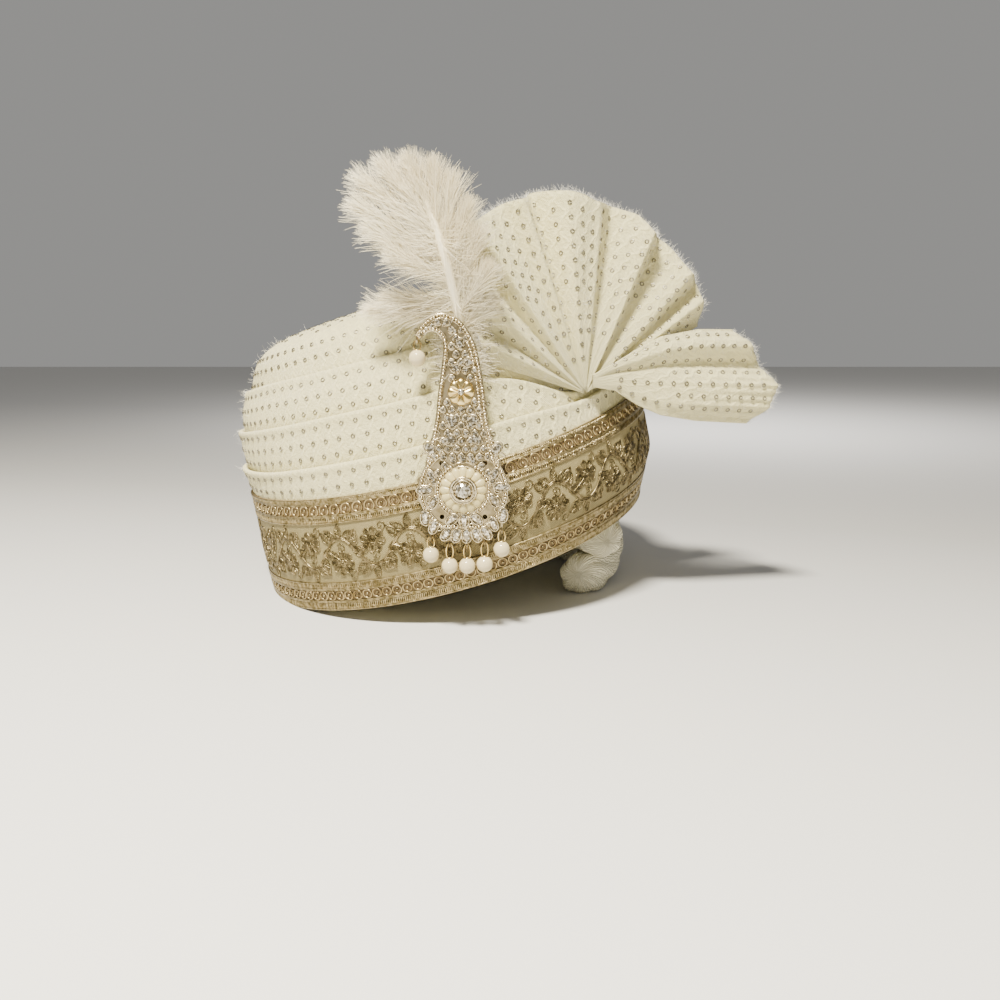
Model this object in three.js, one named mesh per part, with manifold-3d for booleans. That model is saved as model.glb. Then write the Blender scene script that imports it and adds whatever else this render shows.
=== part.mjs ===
// A tied wedding pagri: a wound cloth crown with a lace band round its rim, a pleated fan and tail
// gathered at one side, a twisted nape roll, and a plumed brooch with pearl drops.
// Millimetres, +Z up. The brooch side faces -Y and the fan side is +X.
// The turban rests on a table, leaning up on its nape roll, with its rim flattened where it lies.
import * as THREE from 'three';
import { mergeVertices } from 'three/addons/utils/BufferGeometryUtils.js';
import Module from 'manifold-3d';

const wasm = await Module();
wasm.setup();

const rad = THREE.MathUtils.degToRad;

// Driving dimensions

const REST = { tilt: rad(14.9), rimX: 5, rimZ: 23 };
const ORIGIN = { x: 29.1, y: -3.98 };

const ROUND_STEPS = 40;
const PLAN = { breadth: 0.87, squareness: 2.15 };
const CLOTH = { wall: 1.7, gap: 1.1 };
const LAYER = CLOTH.wall + CLOTH.gap;
const LEDGE_STEP = 1.5;

// Crown wall: height above the rim, half its length, the shift of its middle towards the fan,
// and the saddle of each level: lower at front and back (dip), higher at the two ends (lift)
const CROWN_PROFILE = [
  { height: 0, half: 106.0, shift: 2.7, dip: -4, lift: 4 },
  { height: 25, half: 111.3, shift: 9.7, dip: -5, lift: 4 },
  { height: 58, half: 110.2, shift: 12.6, dip: -7, lift: 4 },
  { height: 74, half: 110.3, shift: 10.8, dip: -6, lift: 3.5 },
  { height: 97, half: 106.6, shift: 8.5, dip: -4.2, lift: 2.4 },
  { height: 108, half: 102.6, shift: 7.1, dip: -3.2, lift: 1.8 },
  { height: 118.5, half: 96.3, shift: 6.2, dip: -2.4, lift: 1.3 },
  { height: 129, half: 91.5, shift: 6, dip: -1.5, lift: 0.8 },
  { height: 136, half: 85.5, shift: 6, dip: -0.9, lift: 0.5 },
  { height: 142, half: 72.0, shift: 6, dip: -0.4, lift: 0.2 },
  { height: 145.5, half: 48.0, shift: 6, dip: 0, lift: 0 },
  { height: 147, half: 0, shift: 6, dip: 0, lift: 0 },
];

// Hollow for the head
const HOLLOW_PROFILE = [
  { height: 0, half: 97, shift: 1.5 },
  { height: 30, half: 98, shift: 6 },
  { height: 72, half: 96, shift: 7 },
  { height: 98, half: 90, shift: 6.5 },
  { height: 118, half: 74, shift: 6 },
  { height: 129, half: 48, shift: 6 },
  { height: 133, half: 0, shift: 6 },
];

// Outer windings: the height of the folded top edge all round, and where it dips into the gather
const WRAPS = [
  { name: 'wrap_2', ledge: 118.5, gathered: 79.5 },
  { name: 'wrap_3', ledge: 97, gathered: 76 },
  { name: 'wrap_4', ledge: 76, gathered: 71.5 },
];
const GATHER = { angle: -47, spreadFront: 13, spreadSide: 25 };

const BAND = { hem: -1.5, top: 60.5, wall: 1.6, gap: 0.5 };
const BAND_ROWS = [BAND.hem, 25, BAND.top];

const FAN = { x: 77.2, y: -80.3, z: 117, yaw: rad(16), lean: rad(6), rootRadius: 6, thick: 2.4 };
const FAN_RADIAL_STEPS = 6;

// Fan fold lines from the low roll round to the tail: direction, length, and how far each stands forward
const FAN_FOLDS = [
  { angle: 163, reach: 50, forward: -2 },
  { angle: 155, reach: 62, forward: 5 },
  { angle: 147, reach: 70, forward: -4 },
  { angle: 140, reach: 82, forward: 5 },
  { angle: 131, reach: 92, forward: -5 },
  { angle: 126, reach: 99, forward: 7 },
  { angle: 115, reach: 99.5, forward: 0 },
  { angle: 109.5, reach: 99, forward: 6 },
  { angle: 104, reach: 99.5, forward: -7 },
  { angle: 96, reach: 99.5, forward: 5 },
  { angle: 85, reach: 95, forward: 3 },
  { angle: 79, reach: 93, forward: -6 },
  { angle: 72, reach: 94, forward: 0 },
  { angle: 65.5, reach: 90, forward: 6 },
  { angle: 60, reach: 88, forward: -6 },
  { angle: 46, reach: 86, forward: 5 },
  { angle: 41, reach: 84, forward: -3 },
  { angle: 36, reach: 82, forward: 4 },
  { angle: 27, reach: 72, forward: -7 },
];

const TAIL = { start: 3, standOff: 3.4, endStandOff: 11, thick: 2.4, steps: 8 };

// Tail stations along its length: middle height and half width
const TAIL_STATIONS = [
  { along: 3, middle: 6, half: 3 },
  { along: 15, middle: 8, half: 7 },
  { along: 27, middle: 7.5, half: 14 },
  { along: 40, middle: 8, half: 20 },
  { along: 60, middle: 8, half: 23.5 },
  { along: 101, middle: 6.5, half: 25 },
];

// Tail fold lines from its top edge to its bottom edge
const TAIL_FOLDS = [
  { share: 0, reach: 80, forward: -4 },
  { share: 0.18, reach: 86, forward: 5 },
  { share: 0.36, reach: 94, forward: -3 },
  { share: 0.6, reach: 101, forward: 5 },
  { share: 0.82, reach: 98, forward: 3 },
  { share: 1, reach: 89, forward: -5 },
];

const NAPE = {
  x: 86.5, z: 22.5, from: -53, to: 42, strandOffset: 12.5, strandRadius: 13.5,
  startAngle: rad(50), twist: rad(220), steps: 10, sides: 10, endRound: 10,
};

const BROOCH = { x: 16.4, y: -107.5, z: 72.4, lean: rad(4.3), plate: 2.4 };
const STEM = {
  inner: [[-13.2, 31.5], [-11.4, 46.2], [-9.1, 62.8], [-9.2, 70.5], [-12.6, 74.6], [-16, 74.6], [-20.4, 71.6]],
  outer: [[-22, 73.6], [-18.3, 78.4], [-13, 82.2], [-7.3, 82.6], [-0.8, 79.3], [4.2, 72], [7, 64.6], [10.2, 46.2], [12, 31.5]],
  foot: { half: 17.5, z: 14 },
  curveSteps: 14,
};
const BASE = { radius: 21.5, lobe: 1.4, lobes: 14, steps: 56 };
const GAPS = { count: 14, ring: 16.6, radius: 1.3, sides: 6 };
const LEAF_MOUNTS = { below: -11, longer: 2.4, wider: 2 };
const STONE = { height: 1.5, table: 0.55, facets: 8, sunk: 0.5 };

// Leaf-shaped and round stones on the plate: place, length, width and direction of the long axis
const PLATE_STONES = [
  { x: -18.6, z: 0, long: 7, wide: 3.4, turn: 0 },
  { x: -15, z: 6.5, long: 6, wide: 3, turn: 120 },
  { x: -14.5, z: -6, long: 6, wide: 3, turn: 60 },
  { x: 18.4, z: 1.5, long: 7, wide: 3.4, turn: 0 },
  { x: 15, z: 7.5, long: 6, wide: 3, turn: 60 },
  { x: 14.6, z: -5, long: 6, wide: 3, turn: 120 },
  { x: -18.4, z: -13.4, long: 6.4, wide: 3.6, turn: 95 },
  { x: 19, z: -12, long: 6.4, wide: 3.6, turn: 85 },
  { x: -14.4, z: -17.8, long: 6, wide: 3.4, turn: 70 },
  { x: 14.4, z: -16.4, long: 6, wide: 3.4, turn: 110 },
  { x: -5.6, z: -14.2, long: 6, wide: 3.4, turn: 40 },
  { x: 0.3, z: -14.8, long: 6, wide: 3.6, turn: 90 },
  { x: 6.2, z: -14, long: 6, wide: 3.4, turn: 140 },
  { x: -8.4, z: -21.4, long: 6, wide: 3.6, turn: 55 },
  { x: -3.6, z: -22, long: 6, wide: 3.8, turn: 75 },
  { x: 1.4, z: -22.2, long: 6, wide: 3.8, turn: 90 },
  { x: 6.4, z: -21.8, long: 6, wide: 3.8, turn: 105 },
  { x: 11, z: -20.8, long: 6, wide: 3.6, turn: 125 },
  { x: -16, z: 20, long: 6, wide: 4, turn: 125 },
  { x: 16, z: 20, long: 6, wide: 4, turn: 55 },
  { x: -6, z: 24, long: 5, wide: 4.4, turn: 0 },
  { x: 5.6, z: 24.4, long: 5, wide: 4.4, turn: 0 },
  { x: -5, z: 33, long: 5, wide: 4.4, turn: 0 },
  { x: 4.6, z: 33.4, long: 5, wide: 4.4, turn: 0 },
  { x: -3.4, z: 58, long: 4, wide: 3.6, turn: 0 },
  { x: 2.6, z: 60.5, long: 4, wide: 3.6, turn: 0 },
  { x: -1.4, z: 69.5, long: 4, wide: 3.6, turn: 0 },
];

const FLOWER = { radius: 10.6, lobe: 0.9, lobes: 14, thick: 1.8, bezel: 5.8, bezelTall: 2.4, seat: 4.5, steps: 56 };
const CENTRE_STONE = { radius: 4.1, tall: 2.6, facets: 12, table: 0.55 };
const STEM_FLOWER = { x: -0.8, z: 46.5, radius: 5.6, lobe: 0.8, lobes: 8, thick: 1.4, steps: 32, stone: 3.8 };
const SEAT_GAP = 0.3;

const PEARL = { radius: 4, round: 10, rows: 6 };
const EYE = { radius: 1.45, wire: 0.5, steps: 8, sides: 5, stem: 2.8 };
const LOOP = { half: 1.7, wire: 0.4, steps: 9, sides: 5, sunk: 0.5 };

// Pearl drops: the eye that each hangs from, on the plate, and the middle of its pearl
const DROPS = [
  { name: 'drop_pearl_1', x: -16, eye: -23, pearl: -31.8 },
  { name: 'drop_pearl_2', x: -6.9, eye: -26.4, pearl: -37.2 },
  { name: 'drop_pearl_3', x: 1.6, eye: -26.8, pearl: -37.2 },
  { name: 'drop_pearl_4', x: 10.1, eye: -25.6, pearl: -36.4 },
  { name: 'drop_pearl_5', x: 18.4, eye: -19.8, pearl: -29 },
  { name: 'hook_pearl', x: -21.4, eye: 70.6, pearl: 62.4 },
];

const PLUME = { x: 17, y: -97, z: 125, sides: 5 };
const QUILL = [[0, 0, 0], [-3, 0, 30], [-9, -9, 58], [-18, -11, 84]];

// Plume locks: where each leaves the quill, its tip, and its half width
const PLUME_LOCKS = [
  { share: 0.36, tipX: -46, tipY: 1, tipZ: 33, half: 5 },
  { share: 0.44, tipX: -39, tipY: -7, tipZ: 47, half: 6 },
  { share: 0.5, tipX: -42, tipY: -14, tipZ: 59, half: 6.5 },
  { share: 0.58, tipX: -47, tipY: -13, tipZ: 68, half: 7 },
  { share: 0.66, tipX: -49, tipY: -11, tipZ: 79, half: 7 },
  { share: 0.74, tipX: -47, tipY: -10, tipZ: 90, half: 7 },
  { share: 0.8, tipX: -36, tipY: -11, tipZ: 96, half: 6.5 },
  { share: 0.85, tipX: -24, tipY: -11, tipZ: 98, half: 6.5 },
  { share: 0.78, tipX: -13, tipY: -12, tipZ: 96, half: 6.5 },
  { share: 0.68, tipX: -4, tipY: -13, tipZ: 90, half: 6.5 },
  { share: 0.56, tipX: 3, tipY: -13, tipZ: 79, half: 6 },
  { share: 0.44, tipX: 8, tipY: -12, tipZ: 68, half: 5.5 },
  { share: 0.36, tipX: 13, tipY: -10, tipZ: 52, half: 5 },
  { share: 0.26, tipX: 14, tipY: 0, tipZ: 38, half: 4 },
];

// Solids from grids of points

function closedGeometry(points, triangles) {
  const loose = new THREE.BufferGeometry();
  loose.setAttribute('position', new THREE.Float32BufferAttribute(points.flatMap((p) => [p.x, p.y, p.z]), 3));
  loose.setIndex(triangles.flat());
  const geometry = mergeVertices(loose, 1e-3);
  const kept = [];
  for (let t = 0; t < geometry.index.count; t += 3) {
    const corners = [0, 1, 2].map((k) => geometry.index.getX(t + k));
    if (new Set(corners).size === 3) kept.push(...corners);
  }
  geometry.setIndex(kept);
  if (signedVolume(geometry) < 0) geometry.setIndex(kept.reverse());
  return geometry;
}

function signedVolume(geometry) {
  const at = (k) => new THREE.Vector3().fromBufferAttribute(geometry.attributes.position, geometry.index.getX(k));
  let sixfold = 0;
  for (let t = 0; t < geometry.index.count; t += 3) sixfold += at(t).dot(at(t + 1).cross(at(t + 2)));
  return sixfold / 6;
}

// A wall between two grids of rows: round joins the last column to the first, domed has poles on top
function wallSolid(outer, inner, { round = false, domed = false } = {}) {
  const columns = outer[0].length;
  const steps = round ? columns : columns - 1;
  const innerStart = outer.length * columns;
  const a = (j, i) => j * columns + (i % columns);
  const b = (j, i) => innerStart + j * columns + (i % columns);
  const faces = [];
  const quad = (p, q, r, s) => faces.push([p, q, r], [p, r, s]);
  for (let i = 0; i < steps; i += 1) {
    for (let j = 0; j < outer.length - 1; j += 1) quad(a(j, i), a(j, i + 1), a(j + 1, i + 1), a(j + 1, i));
    for (let j = 0; j < inner.length - 1; j += 1) quad(b(j, i), b(j + 1, i), b(j + 1, i + 1), b(j, i + 1));
    quad(a(0, i + 1), a(0, i), b(0, i), b(0, i + 1));
    if (domed) continue;
    const top = outer.length - 1;
    quad(a(top, i), a(top, i + 1), b(top, i + 1), b(top, i));
  }
  for (let j = 0; !round && j < outer.length - 1; j += 1) {
    quad(a(j, 0), a(j + 1, 0), b(j + 1, 0), b(j, 0));
    quad(a(j + 1, steps), a(j, steps), b(j, steps), b(j + 1, steps));
  }
  return closedGeometry([...outer.flat(), ...inner.flat()], faces);
}

// A round body lofted through rings of points, closed at both ends by a middle point
function loftSolid(rings, first, last) {
  const sides = rings[0].length;
  const points = [...rings.flat(), first, last];
  const firstIndex = rings.length * sides;
  const faces = [];
  for (let i = 0; i < sides; i += 1) {
    const next = (i + 1) % sides;
    for (let j = 0; j < rings.length - 1; j += 1) {
      const [p, q] = [j * sides + i, j * sides + next];
      faces.push([p, q, q + sides], [p, q + sides, p + sides]);
    }
    faces.push([firstIndex, next, i]);
    const top = (rings.length - 1) * sides;
    faces.push([firstIndex + 1, top + i, top + next]);
  }
  return closedGeometry(points, faces);
}

function toSolid(geometry) {
  const bare = geometry.clone();
  bare.deleteAttribute('normal');
  bare.deleteAttribute('uv');
  const merged = mergeVertices(bare, 1e-4);
  const vertProperties = new Float32Array(merged.attributes.position.array);
  const triVerts = new Uint32Array(merged.index.array);
  return new wasm.Manifold(new wasm.Mesh({ numProp: 3, vertProperties, triVerts }));
}

function toGeometry(solid) {
  const mesh = solid.getMesh();
  const geometry = new THREE.BufferGeometry();
  geometry.setAttribute('position', new THREE.Float32BufferAttribute(mesh.vertProperties, mesh.numProp));
  geometry.setIndex(Array.from(mesh.triVerts));
  return geometry;
}

function fused(geometries) {
  return toGeometry(geometries.map(toSolid).reduce((whole, piece) => whole.add(piece)));
}

// Tables and curves

function tableAt(rows, key, column, value) {
  const last = rows.length - 1;
  if (value <= rows[0][key]) return rows[0][column];
  if (value >= rows[last][key]) return rows[last][column];
  const k = rows.findIndex((row) => row[key] >= value);
  const [low, high] = [rows[k - 1], rows[k]];
  return THREE.MathUtils.mapLinear(value, low[key], high[key], low[column], high[column]);
}

function steps(count) {
  return Array.from({ length: count }, (_, k) => k);
}

// A rosette outline: a circle whose radius swells into petals
function rosette({ radius, lobe, lobes, steps: count }) {
  const points = steps(count).map((k) => {
    const angle = (2 * Math.PI * k) / count;
    const reach = radius + lobe * Math.cos(lobes * angle);
    return new THREE.Vector2(reach * Math.sin(angle), reach * Math.cos(angle));
  });
  return new THREE.Shape(points);
}

// Raises a flat outline towards the viewer: the outline's up becomes +Z and its front faces -Y
function raised(shape, depth, curveSegments = 6) {
  const geometry = new THREE.ExtrudeGeometry(shape, { depth, bevelEnabled: false, curveSegments });
  return geometry.rotateX(Math.PI / 2);
}

// A closed wire ring or oval standing in the XZ plane
function wireLoop(halfX, halfZ, wire, count, sides) {
  const points = [];
  for (const k of steps(count)) {
    const angle = (2 * Math.PI * k) / count;
    const middle = new THREE.Vector3(halfX * Math.cos(angle), 0, halfZ * Math.sin(angle));
    const outward = new THREE.Vector3(halfZ * Math.cos(angle), 0, halfX * Math.sin(angle)).normalize();
    for (const s of steps(sides)) {
      const turn = (2 * Math.PI * s) / sides;
      const point = middle.clone().addScaledVector(outward, wire * Math.cos(turn));
      point.y += wire * Math.sin(turn);
      points.push(point);
    }
  }
  const faces = [];
  for (const k of steps(count)) {
    for (const s of steps(sides)) {
      const corner = (ring, side) => (ring % count) * sides + (side % sides);
      faces.push([corner(k, s), corner(k + 1, s), corner(k + 1, s + 1)]);
      faces.push([corner(k, s), corner(k + 1, s + 1), corner(k, s + 1)]);
    }
  }
  return closedGeometry(points, faces);
}

// Crown

function planRadius(theta) {
  const n = PLAN.squareness;
  return (Math.abs(Math.cos(theta)) ** n + Math.abs(Math.sin(theta)) ** n) ** (-1 / n);
}

function saddle(theta, height) {
  const dip = tableAt(CROWN_PROFILE, 'height', 'dip', height);
  const lift = tableAt(CROWN_PROFILE, 'height', 'lift', height);
  return dip * Math.sin(theta) ** 2 + lift * Math.cos(theta) ** 2;
}

// Table level seen from inside the tilted crown
function tableLevel(x) {
  return -(REST.rimZ + x * Math.sin(REST.tilt)) / Math.cos(REST.tilt);
}

function crownPoint(profile, theta, height, offset) {
  const half = tableAt(profile, 'height', 'half', height);
  const reach = planRadius(theta);
  const x = tableAt(profile, 'height', 'shift', height) + (half + offset) * reach * Math.cos(theta);
  const y = (half * PLAN.breadth + offset) * reach * Math.sin(theta);
  const z = half > 0 ? height + saddle(theta, height) : height;
  return new THREE.Vector3(x, y, Math.max(z, tableLevel(x)));
}

const THETAS = steps(ROUND_STEPS).map((k) => (2 * Math.PI * k) / ROUND_STEPS - Math.PI);

function gatherPull(theta) {
  const away = THREE.MathUtils.radToDeg(theta) - GATHER.angle;
  const spread = away < 0 ? GATHER.spreadFront : GATHER.spreadSide;
  return Math.exp(-((away / spread) ** 2));
}

function crownBody() {
  const rows = (profile) => profile.map(({ height }) => THETAS.map((theta) => crownPoint(profile, theta, height, 0)));
  return wallSolid(rows(CROWN_PROFILE), rows(HOLLOW_PROFILE), { round: true, domed: true });
}

function wrapLayer(wrap, layer) {
  const levels = CROWN_PROFILE.map((row) => row.height).filter((height) => height < wrap.ledge);
  const ledgeAt = (theta) => THREE.MathUtils.lerp(wrap.ledge, wrap.gathered, gatherPull(theta));
  const heightAt = (j, theta) => Math.min(levels[j] ?? Infinity, ledgeAt(theta) - LEDGE_STEP * (levels.length - j));
  const rows = (offset) => steps(levels.length + 1).map((j) => (
    THETAS.map((theta) => crownPoint(CROWN_PROFILE, theta, heightAt(j, theta), offset))
  ));
  return wallSolid(rows(layer * LAYER), rows(layer * LAYER - CLOTH.wall), { round: true });
}

function laceBand() {
  const inside = WRAPS.length * LAYER + BAND.gap;
  const rows = (offset) => BAND_ROWS.map((height) => (
    THETAS.map((theta) => crownPoint(CROWN_PROFILE, theta, height, offset))
  ));
  return wallSolid(rows(inside + BAND.wall), rows(inside), { round: true });
}

// Fan and tail: sheets that stand over the gather, thick along the depth

function sheetSolid(rows, thick) {
  const shifted = (depth) => rows.map((row) => row.map((p) => new THREE.Vector3(p.x, p.y + depth, p.z)));
  return wallSolid(shifted(-thick / 2), shifted(thick / 2));
}

function fan() {
  const rows = steps(FAN_RADIAL_STEPS + 1).map((j) => {
    const share = j / FAN_RADIAL_STEPS;
    return FAN_FOLDS.map(({ angle, reach, forward }) => {
      const radius = THREE.MathUtils.lerp(FAN.rootRadius, reach, share);
      return new THREE.Vector3(radius * Math.cos(rad(angle)), -forward * share, radius * Math.sin(rad(angle)));
    });
  });
  return sheetSolid(rows, FAN.thick);
}

function tail() {
  const rows = steps(TAIL.steps + 1).map((j) => {
    const share = j / TAIL.steps;
    const standOff = THREE.MathUtils.lerp(TAIL.standOff, TAIL.endStandOff, share);
    return TAIL_FOLDS.map((fold) => {
      const x = THREE.MathUtils.lerp(TAIL.start, fold.reach, share);
      const half = tableAt(TAIL_STATIONS, 'along', 'half', x);
      const z = tableAt(TAIL_STATIONS, 'along', 'middle', x) + half * (1 - 2 * fold.share);
      return new THREE.Vector3(x, -standOff - fold.forward * share, z);
    });
  });
  return sheetSolid(rows, TAIL.thick);
}

// Nape roll: two fat strands twisted round each other, flattened on the table

function napeStrand(phase) {
  const length = NAPE.to - NAPE.from;
  const centreAt = (share) => {
    const angle = NAPE.startAngle + phase + NAPE.twist * share;
    return new THREE.Vector3(
      NAPE.x + NAPE.strandOffset * Math.cos(angle),
      NAPE.from + length * share,
      NAPE.z + NAPE.strandOffset * Math.sin(angle),
    );
  };
  const rings = steps(NAPE.steps + 1).map((j) => {
    const share = THREE.MathUtils.lerp(0.02, 0.98, j / NAPE.steps);
    const fromEnd = Math.min(share, 1 - share) * length;
    const swell = Math.sqrt(1 - (1 - Math.min(1, fromEnd / NAPE.endRound)) ** 2);
    const centre = centreAt(share);
    return steps(NAPE.sides).map((s) => {
      const turn = (2 * Math.PI * s) / NAPE.sides;
      const z = centre.z + NAPE.strandRadius * swell * Math.sin(turn);
      return new THREE.Vector3(centre.x + NAPE.strandRadius * swell * Math.cos(turn), centre.y, Math.max(0, z));
    });
  });
  return loftSolid(rings, centreAt(0), centreAt(1));
}

function napeRoll() {
  return fused([napeStrand(0), napeStrand(Math.PI)]);
}

// Plume: locks fused to a soft core along the quill

function spindle(curve, half, flatness) {
  const rings = [0.18, 0.48, 0.8].map((share) => {
    const centre = curve.getPoint(share);
    const along = curve.getTangent(share);
    const across = new THREE.Vector3(along.z, 0, -along.x).normalize();
    const depth = new THREE.Vector3().crossVectors(along, across).normalize();
    const width = half * Math.sin(Math.PI * share ** 0.8);
    return steps(PLUME.sides).map((s) => {
      const turn = (2 * Math.PI * s) / PLUME.sides;
      return centre.clone()
        .addScaledVector(across, width * Math.cos(turn))
        .addScaledVector(depth, width * flatness * Math.sin(turn));
    });
  });
  return loftSolid(rings, curve.getPoint(0), curve.getPoint(1));
}

function plume() {
  const quill = new THREE.CatmullRomCurve3(QUILL.map((p) => new THREE.Vector3(...p)));
  const locks = PLUME_LOCKS.map(({ share, tipX, tipY, tipZ, half }) => {
    const root = quill.getPoint(share);
    const tip = new THREE.Vector3(tipX, tipY, tipZ);
    const bend = root.clone().lerp(tip, 0.5).add(new THREE.Vector3(0, 0, half * 0.6));
    return spindle(new THREE.QuadraticBezierCurve3(root, bend, tip), half, 0.6);
  });
  return fused([spindle(quill, 9, 0.42), ...locks]);
}

// Brooch

function cutStone({ long, wide, turn }, tall, table, facets) {
  const ring = (scale, height) => steps(facets).map((k) => {
    const angle = (2 * Math.PI * k) / facets;
    const [along, across] = [Math.cos(angle) * long * 0.5 * scale, Math.sin(angle) * wide * 0.5 * scale];
    const [c, s] = [Math.cos(rad(turn)), Math.sin(rad(turn))];
    return new THREE.Vector3(along * c - across * s, -height, along * s + across * c);
  });
  const rings = [ring(1, 0), ring(table, tall)];
  return loftSolid(rings, new THREE.Vector3(0, 0, 0), new THREE.Vector3(0, -tall, 0));
}

function eye({ x, eye: z }) {
  const ring = wireLoop(EYE.radius, EYE.radius, EYE.wire, EYE.steps, EYE.sides);
  ring.rotateZ(Math.PI / 2).translate(x, -BROOCH.plate / 2, z);
  return ring;
}

function eyeStem({ x, eye: z, pearl }) {
  const stem = new THREE.BoxGeometry(EYE.wire * 2.2, EYE.wire * 2.2, EYE.stem);
  const up = Math.sign(z - pearl) * (EYE.radius + EYE.stem / 2 - EYE.wire / 2);
  return stem.translate(x, -BROOCH.plate / 2, z + up);
}

function stemOutline() {
  const curve = (points) => new THREE.CatmullRomCurve3(points.map(([x, z]) => new THREE.Vector3(x, z, 0)));
  const inner = curve(STEM.inner).getPoints(STEM.curveSteps);
  const outer = curve(STEM.outer).getPoints(STEM.curveSteps);
  const { half, z } = STEM.foot;
  const foot = [new THREE.Vector2(half, z), new THREE.Vector2(-half, z)];
  return new THREE.Shape([...[...inner, ...outer].map((p) => new THREE.Vector2(p.x, p.y)), ...foot]);
}

function leafMount({ long, wide, turn }) {
  return { long: long + LEAF_MOUNTS.longer, wide: wide + LEAF_MOUNTS.wider, turn };
}

function broochPlate() {
  const base = rosette(BASE);
  for (const k of steps(GAPS.count)) {
    const angle = (2 * Math.PI * (k + 0.5)) / GAPS.count;
    const hole = new THREE.Path();
    hole.absarc(GAPS.ring * Math.sin(angle), GAPS.ring * Math.cos(angle), GAPS.radius, 0, 2 * Math.PI);
    base.holes.push(hole);
  }
  const stones = PLATE_STONES.map((row) => (
    cutStone(row, STONE.height + STONE.sunk, STONE.table, STONE.facets)
      .translate(row.x, STONE.sunk - BROOCH.plate, row.z)
  ));
  const bottomRow = PLATE_STONES.filter((row) => row.z < LEAF_MOUNTS.below).map((row) => (
    cutStone(leafMount(row), BROOCH.plate, 1, STONE.facets).translate(row.x, 0, row.z)
  ));
  const eyes = DROPS.flatMap((drop) => [eye(drop), eyeStem(drop)]);
  return fused([raised(base, BROOCH.plate, GAPS.sides / 2), raised(stemOutline(), BROOCH.plate), ...bottomRow, ...stones, ...eyes]);
}

function broochFlower() {
  const petals = raised(rosette(FLOWER), FLOWER.thick);
  const bezel = raised(new THREE.Shape().absarc(0, 0, FLOWER.bezel, 0, 2 * Math.PI), FLOWER.thick + FLOWER.bezelTall, 8);
  const seat = raised(new THREE.Shape().absarc(0, 0, FLOWER.seat, 0, 2 * Math.PI), FLOWER.bezelTall * 2, 8);
  seat.translate(0, -FLOWER.thick, 0);
  return toGeometry(toSolid(petals).add(toSolid(bezel)).subtract(toSolid(seat)));
}

function centreStone() {
  const size = { long: CENTRE_STONE.radius * 2, wide: CENTRE_STONE.radius * 2, turn: 0 };
  return cutStone(size, CENTRE_STONE.tall, CENTRE_STONE.table, CENTRE_STONE.facets);
}

function stemFlower() {
  const stone = cutStone({ long: STEM_FLOWER.stone, wide: STEM_FLOWER.stone, turn: 0 }, STONE.height, STONE.table, STONE.facets);
  return fused([raised(rosette(STEM_FLOWER), STEM_FLOWER.thick), stone.translate(0, STONE.sunk - STEM_FLOWER.thick, 0)]);
}

function pearlDrop({ eye: eyeZ, pearl }) {
  const bead = new THREE.SphereGeometry(PEARL.radius, PEARL.round, PEARL.rows).rotateX(Math.PI / 2);
  const top = PEARL.radius - LOOP.sunk;
  const halfTall = (eyeZ - pearl - top) / 2;
  const loop = wireLoop(LOOP.half, halfTall, LOOP.wire, LOOP.steps, LOOP.sides).translate(0, 0, top + halfTall);
  return fused([bead, loop]);
}

// Assembly

const CLOTH_FINISH = { color: 0xe9e4cf, roughness: 0.85 };
const FINISHES = {
  cloth: new THREE.MeshStandardMaterial(CLOTH_FINISH),
  lace: new THREE.MeshStandardMaterial({ color: 0xc0ab82, roughness: 0.55, metalness: 0.3 }),
  silver: new THREE.MeshStandardMaterial({ color: 0xc9c2ae, roughness: 0.28, metalness: 0.9 }),
  gilt: new THREE.MeshStandardMaterial({ color: 0xd8c98f, roughness: 0.35, metalness: 0.7 }),
  enamel: new THREE.MeshStandardMaterial({ color: 0xe8dfb8, roughness: 0.35 }),
  stone: new THREE.MeshStandardMaterial({ color: 0xe8e8ea, roughness: 0.05, metalness: 0.1 }),
  pearl: new THREE.MeshStandardMaterial({ color: 0xf1ead6, roughness: 0.25 }),
  feather: new THREE.MeshStandardMaterial({ color: 0xf0ebdd, roughness: 0.9 }),
};

function piece(name, geometry, finish) {
  const mesh = new THREE.Mesh(geometry, FINISHES[finish]);
  mesh.name = name;
  return mesh;
}

const crown = new THREE.Group();
crown.position.set(REST.rimX, 0, REST.rimZ);
crown.rotation.y = -REST.tilt;
crown.add(piece('wrap_1', crownBody(), 'cloth'));
WRAPS.forEach((wrap, k) => crown.add(piece(wrap.name, wrapLayer(wrap, k + 1), 'cloth')));
crown.add(piece('lace_band', laceBand(), 'lace'));

const gathered = new THREE.Group();
gathered.position.set(FAN.x, FAN.y, FAN.z);
gathered.rotation.set(-FAN.lean, 0, FAN.yaw, 'ZXY');
gathered.add(piece('fan', fan(), 'cloth'), piece('tail', tail(), 'cloth'));

const brooch = new THREE.Group();
brooch.position.set(BROOCH.x, BROOCH.y, BROOCH.z);
brooch.rotation.x = -BROOCH.lean;
brooch.add(piece('brooch_plate', broochPlate(), 'silver'));

const flower = piece('brooch_flower', broochFlower(), 'enamel');
flower.position.y = -BROOCH.plate - SEAT_GAP;
const stone = piece('brooch_stone', centreStone(), 'stone');
stone.position.y = flower.position.y - FLOWER.thick - SEAT_GAP;
const upperFlower = piece('stem_flower', stemFlower(), 'gilt');
upperFlower.position.set(STEM_FLOWER.x, -BROOCH.plate - SEAT_GAP, STEM_FLOWER.z);
brooch.add(flower, stone, upperFlower);

for (const drop of DROPS) {
  const pearl = piece(drop.name, pearlDrop(drop), 'pearl');
  pearl.position.set(drop.x, -BROOCH.plate / 2, drop.pearl);
  brooch.add(pearl);
}

const feather = piece('plume', plume(), 'feather');
feather.position.set(PLUME.x, PLUME.y, PLUME.z);

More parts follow.
